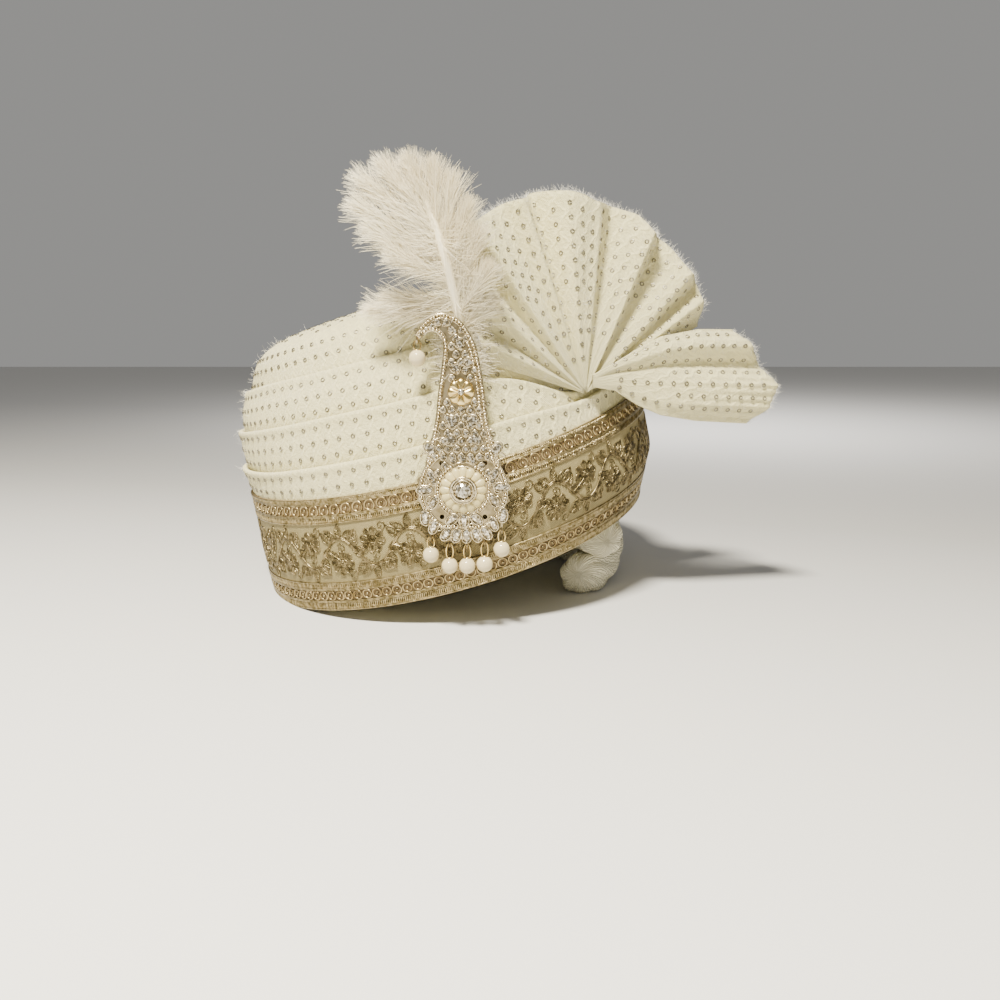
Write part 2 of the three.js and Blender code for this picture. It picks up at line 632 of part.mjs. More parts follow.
const turban = new THREE.Group();
turban.position.set(-ORIGIN.x, -ORIGIN.y, 0);
turban.add(crown, gathered, brooch, feather, piece('nape_roll', napeRoll(), 'cloth'));

export default turban;
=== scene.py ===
# A tied wedding pagri resting on a table: ivory sequined windings, a lace band, a pleated fan and tail,
# a twisted nape roll, and a plumed brooch with pearl drops.
# Lengths in the tables are millimetres on the worktable: X to the fan side, Y to the back, Z up.
import math
import random

import bmesh
import bpy
import numpy as np
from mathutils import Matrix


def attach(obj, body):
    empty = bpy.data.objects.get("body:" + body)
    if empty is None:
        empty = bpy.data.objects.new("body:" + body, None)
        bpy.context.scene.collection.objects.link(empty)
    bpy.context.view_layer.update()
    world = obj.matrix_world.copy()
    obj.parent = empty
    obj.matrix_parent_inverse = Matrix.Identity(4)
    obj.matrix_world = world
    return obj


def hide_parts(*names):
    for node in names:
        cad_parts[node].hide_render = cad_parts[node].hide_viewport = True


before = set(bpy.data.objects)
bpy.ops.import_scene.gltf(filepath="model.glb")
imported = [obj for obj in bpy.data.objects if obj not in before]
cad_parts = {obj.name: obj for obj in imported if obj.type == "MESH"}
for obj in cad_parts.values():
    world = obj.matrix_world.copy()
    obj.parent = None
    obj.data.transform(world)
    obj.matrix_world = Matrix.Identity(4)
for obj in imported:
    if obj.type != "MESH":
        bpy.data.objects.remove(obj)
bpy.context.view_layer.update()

MM = 0.001
ORIGIN = np.array([29.1, -3.98, 0.0])
BODY = "root"


def to_row(points):
    return (np.asarray(points, dtype=float) - ORIGIN) * MM


# Camera, floor and light

EYE = (34.0, -464.0, 138.5)
EYE_PITCH_DEG = 11.3
LENS = 27.0
SENSOR = 36.0
FLOOR_REACH = 6.0
# name, place, aim, size and power of each lamp, and its colour
LAMPS = [
    ("key", (-0.20, -0.56, 1.05), (0.0, 0.0, 0.10), 0.24, 98.0, (1.0, 0.94, 0.80)),
    ("fill", (-0.60, -0.85, 0.45), (0.0, 0.0, 0.10), 0.6, 10.0, (1.0, 0.96, 0.88)),
    ("rim", (0.25, 0.75, 0.75), (0.0, 0.0, 0.12), 0.5, 22.0, (1.0, 0.97, 0.92)),
]


def add_camera():
    data = bpy.data.cameras.new("camera")
    data.lens = LENS
    data.sensor_width = SENSOR
    data.clip_start = 0.01
    camera = bpy.data.objects.new("camera", data)
    camera.location = to_row(EYE)
    camera.rotation_euler = (math.radians(90.0 - EYE_PITCH_DEG), 0.0, 0.0)
    bpy.context.scene.collection.objects.link(camera)
    bpy.context.scene.camera = camera


def add_area(name, place, aim, size, power, colour):
    data = bpy.data.lights.new(name, "AREA")
    data.shape = "DISK"
    data.size = size
    data.energy = power
    data.color = colour
    lamp = bpy.data.objects.new(name, data)
    lamp.location = place
    direction = np.array(aim) - np.array(place)
    yaw = math.atan2(direction[0], -direction[1])
    tilt = math.atan2(math.hypot(direction[0], direction[1]), -direction[2])
    lamp.rotation_euler = (tilt, 0.0, yaw)
    bpy.context.scene.collection.objects.link(lamp)


def add_studio():
    floor_data = bpy.data.meshes.new("floor")
    corners = [(FLOOR_REACH * x, FLOOR_REACH * y, 0) for x, y in ((-1, -1), (1, -1), (1, 1), (-1, 1))]
    floor_data.from_pydata(corners, [], [(0, 1, 2, 3)])
    floor = bpy.data.objects.new("floor", floor_data)
    bpy.context.scene.collection.objects.link(floor)
    paint = bpy.data.materials.new("pale_floor")
    paint.use_nodes = True
    surface = paint.node_tree.nodes["Principled BSDF"]
    surface.inputs["Base Color"].default_value = (0.62, 0.61, 0.59, 1.0)
    surface.inputs["Roughness"].default_value = 0.9
    floor_data.materials.append(paint)
    for name, place, aim, size, power, colour in LAMPS:
        add_area(name, place, aim, size, power, colour)
    world = bpy.data.worlds.new("studio")
    world.use_nodes = True
    background = world.node_tree.nodes["Background"]
    background.inputs["Color"].default_value = (0.90, 0.89, 0.86, 1.0)
    background.inputs["Strength"].default_value = 0.34
    bpy.context.scene.world = world


# Meshes from grids and from points

def uv_grid(across, tall):
    """Millimetres across and along a grid, one pair a corner."""
    return np.stack(np.broadcast_arrays(across, tall), axis=-1)


def grid_mesh(name, rows, uv=None, round_columns=False, round_rows=False):
    """A mesh over a grid of points. uv has one more row or column where the grid closes on itself."""
    count_rows, count_columns = rows.shape[:2]
    if uv is None:
        uv = np.zeros((count_rows + 1, count_columns + 1, 2))
    j = np.arange(count_rows if round_rows else count_rows - 1)[:, None]
    i = np.arange(count_columns if round_columns else count_columns - 1)[None, :]
    next_i = (i + 1) % count_columns
    next_j = (j + 1) % count_rows
    corners = [j * count_columns + i, j * count_columns + next_i,
               next_j * count_columns + next_i, next_j * count_columns + i]
    faces = np.stack(np.broadcast_arrays(*corners), axis=-1).reshape(-1, 4)
    mesh = bpy.data.meshes.new(name)
    mesh.from_pydata(to_row(rows.reshape(-1, 3)).tolist(), [], faces.tolist())
    steps = [uv[j, i], uv[j, i + 1], uv[j + 1, i + 1], uv[j + 1, i]]
    layer = mesh.uv_layers.new(name="cloth")
    layer.data.foreach_set("uv", np.stack(steps, axis=2).reshape(-1).astype(np.float32))
    return mesh


def tidy_mesh(mesh, close=False, merge=1e-6):
    """Joins doubled points and turns all faces outwards; close also fills open ends."""
    shape = bmesh.new()
    shape.from_mesh(mesh)
    if close:
        bmesh.ops.holes_fill(shape, edges=shape.edges)
    bmesh.ops.remove_doubles(shape, verts=shape.verts, dist=merge)
    bmesh.ops.dissolve_degenerate(shape, dist=merge, edges=shape.edges)
    bmesh.ops.recalc_face_normals(shape, faces=shape.faces)
    shape.to_mesh(mesh)
    shape.free()
    mesh.shade_smooth()
    return mesh


def add_piece(name, mesh, material, replaces=()):
    piece = bpy.data.objects.new(name, mesh)
    bpy.context.scene.collection.objects.link(piece)
    if material is not None:
        mesh.materials.clear()
        mesh.materials.append(material)
    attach(piece, BODY)
    if replaces:
        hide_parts(*replaces)
    return piece


def points_mesh(name, places, normals, tangents, sizes):
    """Points that carry the turn and size of what is set on them."""
    normals = normals / np.linalg.norm(normals, axis=1, keepdims=True)
    tangents = tangents - normals * np.sum(normals * tangents, axis=1, keepdims=True)
    tangents = tangents / np.linalg.norm(tangents, axis=1, keepdims=True)
    sides = np.cross(normals, tangents)
    turn = np.stack([
        np.arctan2(sides[:, 2], normals[:, 2]),
        -np.arcsin(np.clip(tangents[:, 2], -1.0, 1.0)),
        np.arctan2(tangents[:, 1], tangents[:, 0]),
    ], axis=1)
    mesh = bpy.data.meshes.new(name)
    mesh.from_pydata(to_row(places).tolist(), [], [])
    mesh.attributes.new("turn", "FLOAT_VECTOR", "POINT").data.foreach_set("vector", turn.reshape(-1))
    mesh.attributes.new("size", "FLOAT", "POINT").data.foreach_set("value", np.asarray(sizes, dtype=float))
    return mesh


class Threads:
    """Collects fine lines, each with its own radius at every point, in millimetres."""

    def __init__(self):
        self.places = []
        self.edges = []
        self.radii = []
        self.count = 0

    def add(self, line, radius):
        line = np.asarray(line, dtype=float)
        steps = len(line)
        self.places.append(line)
        self.radii.append(np.broadcast_to(np.asarray(radius, dtype=float), (steps,)))
        start = self.count
        self.edges.extend((start + k, start + k + 1) for k in range(steps - 1))
        self.count += steps

    def mesh(self, name):
        mesh = bpy.data.meshes.new(name)
        mesh.from_pydata(to_row(np.concatenate(self.places)).tolist(), self.edges, [])
        radii = np.concatenate(self.radii) * MM
        mesh.attributes.new("thick", "FLOAT", "POINT").data.foreach_set("value", radii)
        return mesh


# Geometry node trees for what repeats

def add_node(tree, kind, inputs, **settings):
    """A node with its settings, and inputs that are values or come from other nodes."""
    node = tree.nodes.new(kind)
    for label, value in settings.items():
        setattr(node, label, value)
    for label, value in inputs.items():
        if isinstance(value, bpy.types.NodeSocket):
            tree.links.new(value, node.inputs[label])
        else:
            node.inputs[label].default_value = value
    return node


def new_tree(name, **inputs):
    """A geometry tree with a named input for each size, count and material."""
    tree = bpy.data.node_groups.new(name, "GeometryNodeTree")
    tree.interface.new_socket("Geometry", in_out="INPUT", socket_type="NodeSocketGeometry")
    tree.interface.new_socket("Geometry", in_out="OUTPUT", socket_type="NodeSocketGeometry")
    for label, kind in inputs.items():
        tree.interface.new_socket(label, in_out="INPUT", socket_type="NodeSocket" + kind)
    return tree, tree.nodes.new("NodeGroupInput"), tree.nodes.new("NodeGroupOutput")


def finish_tree(tree, entry, leave, geometry):
    realize = add_node(tree, "GeometryNodeRealizeInstances", {"Geometry": geometry})
    paint = add_node(tree, "GeometryNodeSetMaterial", {
        "Geometry": realize.outputs["Geometry"], "Material": entry.outputs["Material"]})
    tree.links.new(paint.outputs["Geometry"], leave.inputs["Geometry"])
    return tree


def named_value(tree, label, kind):
    node = add_node(tree, "GeometryNodeInputNamedAttribute", {"Name": label}, data_type=kind)
    return node.outputs["Attribute"]


def circle_node(tree, radius, sides):
    node = add_node(tree, "GeometryNodeCurvePrimitiveCircle", {"Radius": radius, "Resolution": sides})
    return node.outputs["Curve"]


def thread_tree():
    """Lines become closed round threads of their own thickness."""
    tree, entry, leave = new_tree("threads", Sides="Int", Material="Material")
    to_curve = add_node(tree, "GeometryNodeMeshToCurve", {"Mesh": entry.outputs["Geometry"]})
    sweep = add_node(tree, "GeometryNodeCurveToMesh", {
        "Curve": to_curve.outputs["Curve"], "Profile Curve": circle_node(tree, 1.0, entry.outputs["Sides"]),
        "Scale": named_value(tree, "thick", "FLOAT"), "Fill Caps": True})
    return finish_tree(tree, entry, leave, sweep.outputs["Mesh"])


def set_on_points(tree, entry, shape):
    points = add_node(tree, "GeometryNodeMeshToPoints", {"Mesh": entry.outputs["Geometry"]})
    turn = add_node(tree, "FunctionNodeEulerToRotation", {"Euler": named_value(tree, "turn", "FLOAT_VECTOR")})
    place = add_node(tree, "GeometryNodeInstanceOnPoints", {
        "Points": points.outputs["Points"], "Instance": shape, "Rotation": turn.outputs["Rotation"],
        "Scale": named_value(tree, "size", "FLOAT")})
    return place.outputs["Instances"]


def ring_tree():
    """Each point carries a flat round ring."""
    tree, entry, leave = new_tree("rings", **{
        "Ring Radius": "Float", "Wire Radius": "Float", "Sides": "Int", "Wire Sides": "Int",
        "Material": "Material"})
    sweep = add_node(tree, "GeometryNodeCurveToMesh", {
        "Curve": circle_node(tree, entry.outputs["Ring Radius"], entry.outputs["Sides"]),
        "Profile Curve": circle_node(tree, entry.outputs["Wire Radius"], entry.outputs["Wire Sides"])})
    return finish_tree(tree, entry, leave, set_on_points(tree, entry, sweep.outputs["Mesh"]))


def bead_tree():
    """Each point carries a round bead."""
    tree, entry, leave = new_tree("beads", Radius="Float", Segments="Int", Rings="Int", Material="Material")
    ball = add_node(tree, "GeometryNodeMeshUVSphere", {
        label: entry.outputs[label] for label in ("Radius", "Segments", "Rings")})
    return finish_tree(tree, entry, leave, set_on_points(tree, entry, ball.outputs["Mesh"]))


def gem_tree():
    """Each point carries a cut stone: a wide girdle, sloping facets and a flat table."""
    tree, entry, leave = new_tree(
        "gems", Radius="Float", Table="Float", Height="Float", Facets="Int", Material="Material")
    cone = add_node(tree, "GeometryNodeMeshCone", {
        "Vertices": entry.outputs["Facets"], "Radius Bottom": entry.outputs["Radius"],
        "Radius Top": entry.outputs["Table"], "Depth": entry.outputs["Height"]})
    return finish_tree(tree, entry, leave, set_on_points(tree, entry, cone.outputs["Mesh"]))


def made_by_nodes(name, mesh, tree, settings):
    """Runs a node tree over a mesh and gives back the plain mesh that it makes."""
    maker = bpy.data.objects.new(name + "_maker", mesh)
    bpy.context.scene.collection.objects.link(maker)
    modifier = maker.modifiers.new("make", "NODES")
    modifier.node_group = tree
    for item in tree.interface.items_tree:
        if item.in_out == "INPUT" and item.name in settings:
            modifier[item.identifier] = settings[item.name]
    depsgraph = bpy.context.evaluated_depsgraph_get()
    made = bpy.data.meshes.new_from_object(maker.evaluated_get(depsgraph), depsgraph=depsgraph)
    made.name = name
    bpy.data.objects.remove(maker)
    made.shade_smooth()
    return made


# Crown windings

REST_TILT = math.radians(14.9)
REST_X = 5.0
REST_Z = 23.0
PLAN_BREADTH = 0.87
PLAN_SQUARENESS = 2.15

# height, half length, shift towards the fan, dip at front and back, lift at the ends
CROWN_PROFILE = np.array([
    (0, 106.0, 2.7, -4.0, 4.0),
    (25, 111.3, 9.7, -5.0, 4.0),
    (58, 110.2, 12.6, -7.0, 4.0),
    (74, 110.3, 10.8, -6.0, 3.5),
    (97, 106.6, 8.5, -4.2, 2.4),
    (108, 102.6, 7.1, -3.2, 1.8),
    (118.5, 96.3, 6.2, -2.4, 1.3),
    (129, 91.5, 6.0, -1.5, 0.8),
    (136, 85.5, 6.0, -0.9, 0.5),
    (142, 72.0, 6.0, -0.4, 0.2),
    (145.5, 48.0, 6.0, 0.0, 0.0),
    (147, 0.0, 6.0, 0.0, 0.0),
])

# height, half length, shift
HOLLOW_PROFILE = np.array([
    (0, 97, 1.5), (30, 98, 6), (72, 96, 7), (98, 90, 6.5), (118, 74, 6), (129, 48, 6), (133, 0, 6),
])

LAYER = 2.8
CLOTH_WALL = 1.7
# folded top edge of each outer winding, and its height at the gather
LEDGES = [(118.5, 79.5), (97.0, 76.0), (76.0, 71.5)]
GATHER_DEG = -47.0
GATHER_SPREADS = (13.0, 25.0)
BAND_HEM = -1.5
BAND_TOP = 60.5
BAND_INSIDE = 3 * LAYER + 0.5

SOFTEN = np.linspace(-4.0, 4.0, 5)
SOFTEN_WEIGHTS = np.array([0.10, 0.24, 0.32, 0.24, 0.10])
ROUND_STEPS = 320
ROUND_SHARES = np.linspace(0.0, 1.0, ROUND_STEPS + 1)
# mean radii that set the scale of the weave and the number of sequins a row
WINDING_RADIUS = 104.0
DOME_RADIUS = 96.0
DOME_ROW_RADIUS = 94.0
# height from which the crown is closed to a point
CROWN_TOP = 146.9
# a winding's slow belly and its depth, its rolled lip, and its hand-wound unevenness: height, middle, spread
BELLY = (0.7, 24.0)
LIP = (0.95, 1.6, 1.8)
UNEVEN = (0.45, 8.0, 9.0)
LEDGE_WANDER = 1.3
THETAS = np.linspace(-math.pi, math.pi, ROUND_STEPS, endpoint=False)
SEQUIN_PITCH = 6.9


def profile_at(column, height):
    """A soft reading of the crown's profile table."""
    shifted = np.asarray(height, dtype=float)[..., None] + SOFTEN
    return np.interp(shifted, CROWN_PROFILE[:, 0], CROWN_PROFILE[:, column]) @ SOFTEN_WEIGHTS


def plan_radius(theta):
    n = PLAN_SQUARENESS
    return (np.abs(np.cos(theta)) ** n + np.abs(np.sin(theta)) ** n) ** (-1.0 / n)


def lean(x, y, z):
    """From the upright crown to the crown as it rests."""
    c = math.cos(REST_TILT)
    s = math.sin(REST_TILT)
    return np.stack([REST_X + x * c - z * s, y, REST_Z + x * s + z * c], axis=-1)


def shaped(theta, height, half, shift, offset):
    reach = plan_radius(theta)
    x = shift + (half + offset) * reach * np.cos(theta)
    y = (half * PLAN_BREADTH + offset) * reach * np.sin(theta)
    saddle = profile_at(3, height) * np.sin(theta) ** 2 + profile_at(4, height) * np.cos(theta) ** 2
    table = -(REST_Z + x * math.sin(REST_TILT)) / math.cos(REST_TILT)
    z = np.maximum(height + np.where(half > 1e-6, saddle, 0.0), table)
    return lean(x, y, z)


def crown_points(theta, height, offset):
    theta, height, offset = np.broadcast_arrays(
        np.asarray(theta, dtype=float), np.asarray(height, dtype=float), np.asarray(offset, dtype=float))
    half = profile_at(1, height)
    half = np.where(height >= CROWN_TOP, 0.0, half)
    return shaped(theta, height, half, profile_at(2, height), np.where(half > 0, offset, 0.0))


def surface_frames(surface, one, two, out, one_step, two_step, facing=1.0):
    """Places on a surface of two running values, with their normals and the direction of the first."""
    place = surface(one, two, out)
    along = surface(one + one_step, two, out) - surface(one - one_step, two, out)
    up = surface(one, two + two_step, out) - surface(one, two - two_step, out)
    return place, facing * np.cross(along, up), along


def crown_frames(theta, height, offset):
    return surface_frames(crown_points, theta, height, offset, 0.004, 0.5)


def gather_pull(theta):
    away = np.degrees(theta) - GATHER_DEG
    spread = np.where(away < 0, GATHER_SPREADS[0], GATHER_SPREADS[1])
    return np.exp(-((away / spread) ** 2))


def waver(theta, seed):
    """A slow uneven wander, as of cloth wound by hand."""
    chance = random.Random(seed)
    total = np.zeros_like(theta)
    for cycles in (2, 3, 5, 8, 13):
        strength = math.cos(chance.uniform(0, 6.28))
        total = total + strength * np.sin(cycles * theta + chance.uniform(0, 6.28)) / cycles
    return total


def ledge_at(layer, theta):
    """Height of the folded top edge of winding 1, 2 or 3 outside the inner one."""
    high, low = LEDGES[layer - 1]
    pull = gather_pull(theta)
    return high + (low - high) * pull + LEDGE_WANDER * waver(theta, layer) * (1.0 - pull)


def bump_at(value, middle, spread):
    return np.exp(-((value - middle) / spread) ** 2)


def wrap_swell(layer, theta, depth):
    """How far a winding stands out at a depth below its folded edge: a rolled lip, then a slow belly."""
    belly = BELLY[0] * np.sin(math.pi * np.minimum(depth, BELLY[1]) / BELLY[1])
    lip = LIP[0] * bump_at(depth, *LIP[1:])
    uneven = UNEVEN[0] * waver(theta, layer + 20) * bump_at(depth, *UNEVEN[1:])
    return np.maximum(belly + lip + uneven, -0.3)


def wrap_mesh(layer):
    """One winding: up its outer face, over the folded lip, and down inside."""
    edge = ledge_at(layer, THETAS)
    offset = layer * LAYER
    inside = offset - CLOTH_WALL
    below = [60.0, 46.0, 36.0, 30.0, 26.0, 23.0, 20.0, 17.0, 14.0, 11.5, 9.0, 7.0, 5.2, 3.8, 2.6, 1.7]
    sway = 0.3 * UNEVEN[0] * waver(THETAS, layer + 20)
    outer = [(depth, offset + wrap_swell(layer, THETAS, depth)) for depth in below]
    lip = [(1.0, offset + 1.15 + sway), (0.25, offset + 0.75 + sway), (0.0, offset - 0.15 + sway),
           (0.3, offset - 1.15)]
    lining = [(1.2, inside), (10.0, inside), (40.0, inside)]
    depths = [edge, edge]
    grid = [crown_points(THETAS, 0.0, inside), crown_points(THETAS, 0.0, offset)]
    for depth, out in outer + lip + lining:
        depths.append(np.full_like(THETAS, depth))
        grid.append(crown_points(THETAS, edge - depth, out))
    depths.append(edge)
    tall = np.stack([np.append(depth, depth[0]) for depth in depths])
    uv = uv_grid(ROUND_SHARES * 2.0 * math.pi * WINDING_RADIUS, tall)
    return tidy_mesh(grid_mesh("wrap", np.stack(grid), uv, round_columns=True, round_rows=True))


# above this height the cloth lies flat over the top, with straight rows
DOME_EDGE = 136.0


def crown_mesh():
    """The inner winding: the dome outside, the rim, and the head hollow inside."""
    side_heights = np.concatenate([[0.0, 30.0, 60.0, 90.0, 104.0], np.linspace(110.0, DOME_EDGE, 14)])
    top_heights = np.concatenate([
        np.linspace(DOME_EDGE, 142.0, 7), [143.0, 144.0, 144.8, 145.5, 146.0, 146.5, 147.0]])
    heights = np.concatenate([side_heights, top_heights])
    fullness = 0.8 * waver(THETAS, 9)
    outer = [crown_points(THETAS, h, np.where(h > 118, fullness, 0.0)) for h in heights]
    inner_heights = np.concatenate([np.linspace(133.0, 118.0, 7), np.linspace(110.0, 0.0, 8)])
    inner = []
    for h in inner_heights:
        half = np.interp(h, HOLLOW_PROFILE[:, 0], HOLLOW_PROFILE[:, 1])
        shift = np.interp(h, HOLLOW_PROFILE[:, 0], HOLLOW_PROFILE[:, 2])
        inner.append(shaped(THETAS, np.full_like(THETAS, h), np.full_like(THETAS, half), shift, 0.0))
    grid = np.stack(outer[::-1] + inner[::-1])
    tall = np.concatenate([150.0 - heights[::-1], 150.0 + inner_heights[::-1]])
    uv = uv_grid(ROUND_SHARES * 2.0 * math.pi * DOME_RADIUS, tall[:, None])
    flat_rows = len(top_heights)
    uv[:flat_rows, :-1] = grid[:flat_rows, :, :2]
    uv[:flat_rows, -1] = grid[:flat_rows, 0, :2]
    return tidy_mesh(grid_mesh("wrap_1", grid, uv, round_columns=True))


# Fan and tail

FAN_ROOT = np.array([77.2, -80.3, 117.0])
FAN_YAW = math.radians(16.0)
FAN_LEAN = math.radians(6.0)
FAN_ROOT_RADIUS = 1.5
FAN_THICK = 2.2
# direction in degrees, length, and how far the fold stands forward
FAN_FOLDS = np.array([
    (163, 50, -2), (155, 62, 5), (147, 70, -4), (140, 82, 5), (131, 92, -5), (126, 99, 7), (115, 99.5, 0),
    (109.5, 99, 6), (104, 99.5, -7), (96, 99.5, 5), (85, 95, 3), (79, 93, -6), (72, 94, 0), (65.5, 90, 6),
    (60, 88, -6), (46, 86, 5), (41, 84, -3), (36, 82, 4), (27, 72, -7),
])

# how much a forward fold is cut back at the rim, by direction
FAN_TRIM = ((30.0, 90.0, 140.0), (0.75, 0.45, 0.0))
# depth of the fan's folds against the table, and how early from the root they open
FOLD_DEPTH = 1.2
FOLD_OPENING = 0.92
RIPPLE = 0.5

TAIL_START = 3.0
TAIL_STAND = (3.4, 11.0)
# along, middle height, half width
TAIL_STATIONS = np.array([(3, 6, 3), (15, 8, 7), (27, 7.5, 14), (40, 8, 20), (60, 8, 23.5), (101, 6.5, 25)])
# share across, length, and how far the fold stands forward
TAIL_FOLDS = np.array([
    (0, 80, -4), (0.18, 86, 5), (0.36, 94, -3), (0.6, 101, 5), (0.82, 98, 3), (1, 89, -5),
])
# the tail's dark crease: depth, place across and spread; and its fine tucks: height and number
CREASE = (4.5, 0.36, 0.06)
TUCKS = (0.32, 13.0)
# steps for reading the direction of the cloth: degrees on the fan, shares elsewhere
FAN_STEP = -0.3
SHARE_STEP = 0.004


def fan_place(x, y, z):
    """From the fan's own flat frame to the worktable."""
    deep = y * math.cos(FAN_LEAN) + z * math.sin(FAN_LEAN)
    tall = z * math.cos(FAN_LEAN) - y * math.sin(FAN_LEAN)
    c = math.cos(FAN_YAW)
    s = math.sin(FAN_YAW)
    return FAN_ROOT + np.stack([x * c - deep * s, x * s + deep * c, tall], axis=-1)


def eased(value, knots, heights, hold=0.35):
    """Reads a table of folds with rounded crests and valleys."""
    k = np.clip(np.searchsorted(knots, value) - 1, 0, len(knots) - 2)
    share = (value - knots[k]) / (knots[k + 1] - knots[k])
    soft = share * share * (3.0 - 2.0 * share)
    share = hold * share + (1.0 - hold) * soft
    return heights[k] + (heights[k + 1] - heights[k]) * share


def fan_point(angle, share, depth):
    """angle in degrees and share of the reach; depth is along the thickness of the cloth."""
    knots = FAN_FOLDS[::-1]
    reach = eased(angle, knots[:, 0], knots[:, 1])
    forward = eased(angle, knots[:, 0], knots[:, 2], 0.5)
    radius = FAN_ROOT_RADIUS + (reach - FAN_ROOT_RADIUS) * share
    radius = radius - forward * share * np.interp(angle, FAN_TRIM[0], FAN_TRIM[1])
    turn = np.radians(angle)
    ripple = RIPPLE * np.sin(0.55 * angle + 5.0 * share) * share
    y = -FOLD_DEPTH * forward * share ** FOLD_OPENING + ripple + depth
    return fan_place(radius * np.cos(turn), y, radius * np.sin(turn))


def tail_point(across, share, depth):
    reach = eased(across, TAIL_FOLDS[:, 0], TAIL_FOLDS[:, 1])
    forward = eased(across, TAIL_FOLDS[:, 0], TAIL_FOLDS[:, 2], 0.5)
    x = TAIL_START + (reach - TAIL_START) * share
    middle = np.interp(x, TAIL_STATIONS[:, 0], TAIL_STATIONS[:, 1])
    half = np.interp(x, TAIL_STATIONS[:, 0], TAIL_STATIONS[:, 2])
    stand = TAIL_STAND[0] + (TAIL_STAND[1] - TAIL_STAND[0]) * share
    ripple = RIPPLE * np.sin(9.0 * across + 7.0 * share) * share
    tucks = TUCKS[0] * np.sin(2.0 * math.pi * TUCKS[1] * across) * np.clip(1.8 * share - 0.7, 0.0, 1.0)
    crease = CREASE[0] * bump_at(across, *CREASE[1:]) * np.clip(1.3 - 1.5 * share, 0.0, 1.0) * share
    y = -stand - forward * share + (ripple + tucks + crease) + depth
    return fan_place(x, y, middle + half * (1.0 - 2.0 * across))


def sheet_mesh(name, surface, first, second, thick, scale):
    """A cloth sheet with a front, a back and rounded edges, over two running values."""
    one, two = np.meshgrid(first, second)
    front = surface(one, two, -thick / 2)
    back = surface(one, two, thick / 2)
    grid = np.concatenate([front, back[::-1]])
    rows = len(second)
    tall = np.concatenate([two[:, :1], two[::-1, :1] + 4.0, two[:1, :1] + 8.0])
    mesh = grid_mesh(name, grid, uv_grid(first * scale[0], tall * scale[1]), round_rows=True)
    close_ends(mesh, rows, len(first))
    return tidy_mesh(mesh)


def close_ends(mesh, rows, columns):
    """Sews the two open side edges of a sheet's front and back together."""
    shape = bmesh.new()
    shape.from_mesh(mesh)
    shape.verts.ensure_lookup_table()
    for column in (0, columns - 1):
        for row in range(rows - 1):
            far = 2 * rows - 1 - row
            ring = [row, row + 1, far - 1, far]
            shape.faces.new([shape.verts[r * columns + column] for r in ring])
    shape.to_mesh(mesh)
    shape.free()


# Nape roll

NAPE_X = 86.5
NAPE_Z = 22.5
NAPE_SPAN = (-53.0, 42.0)
NAPE_OFFSET = 12.5
NAPE_RADIUS = 13.5
NAPE_START = math.radians(50.0)
NAPE_TWIST = math.radians(220.0)
NAPE_END = 10.0
NAPE_YARNS = 7
NAPE_STEPS = 84
# how far the yarns turn round a strand, and how deep the grooves between them are
YARN_TURN = 2.6
YARN_GROOVE = 0.17


def nape_mesh(phase):
    """One of the two strands of the roll, grooved by its yarns and closed at both ends."""
    shares = np.concatenate([[0.001, 0.01], np.linspace(0.03, 0.97, 60), [0.99, 0.999]])[:, None]
    turns = np.linspace(0.0, 2.0 * math.pi, NAPE_STEPS, endpoint=False)[None, :]
    length = NAPE_SPAN[1] - NAPE_SPAN[0]
    angle = NAPE_START + phase + NAPE_TWIST * shares
    from_end = np.minimum(shares, 1.0 - shares) * length
    swell = np.sqrt(np.maximum(1.0 - (1.0 - np.minimum(1.0, from_end / NAPE_END)) ** 2, 0.0))
    yarn = np.abs(np.sin(0.5 * NAPE_YARNS * (turns + YARN_TURN * shares)))
    radius = NAPE_RADIUS * swell * (1.0 - YARN_GROOVE + YARN_GROOVE * np.sqrt(yarn))
    x = NAPE_X + NAPE_OFFSET * np.cos(angle) + radius * np.cos(turns)
    y = np.broadcast_to(NAPE_SPAN[0] + length * shares, x.shape)
    z = np.maximum(NAPE_Z + NAPE_OFFSET * np.sin(angle) + radius * np.sin(turns), 0.2)
    grid = np.stack([x, y, z], axis=-1)
    uv = uv_grid(np.arange(NAPE_STEPS + 1.0), shares * length)
    return tidy_mesh(grid_mesh("nape_strand", grid, uv, round_columns=True), close=True)


# Materials

LATTICE_BEND = 0.55
WARP_PITCH = 0.62
WEFT_PITCH = 0.70
NET_PITCH = 0.9


def new_material(name, values):
    """A material and its Principled surface, whose inputs have the given values."""
    material = bpy.data.materials.new(name)
    material.use_nodes = True
    tree = material.node_tree
    surface = tree.nodes["Principled BSDF"]
    for label, value in values.items():
        surface.inputs[label].default_value = value
    return material, tree, surface


def cloth_vector(tree):
    return add_node(tree, "ShaderNodeUVMap", {}, uv_map="cloth").outputs["UV"]


def split_vector(tree, vector):
    split = add_node(tree, "ShaderNodeSeparateXYZ", {0: vector})
    return split.outputs["X"], split.outputs["Y"]


def solid_vector(tree):
    return tree.nodes.new("ShaderNodeTexCoord").outputs["Object"]


def add_relief(tree, surface, height, strength, distance):
    relief = add_node(tree, "ShaderNodeBump", {"Strength": strength, "Distance": distance, "Height": height})
    tree.links.new(relief.outputs["Normal"], surface.inputs["Normal"])


def math_node(tree, operation, *values):
    return add_node(tree, "ShaderNodeMath", dict(enumerate(values)), operation=operation).outputs[0]


def sine_node(tree, value, wavelength):
    turns = math_node(tree, "MULTIPLY", value, 2.0 * math.pi / wavelength)
    return math_node(tree, "SINE", turns)


def noise_node(tree, vector, scale, detail):
    node = add_node(tree, "ShaderNodeTexNoise", {"Vector": vector, "Scale": scale, "Detail": detail})
    return node.outputs["Fac"]


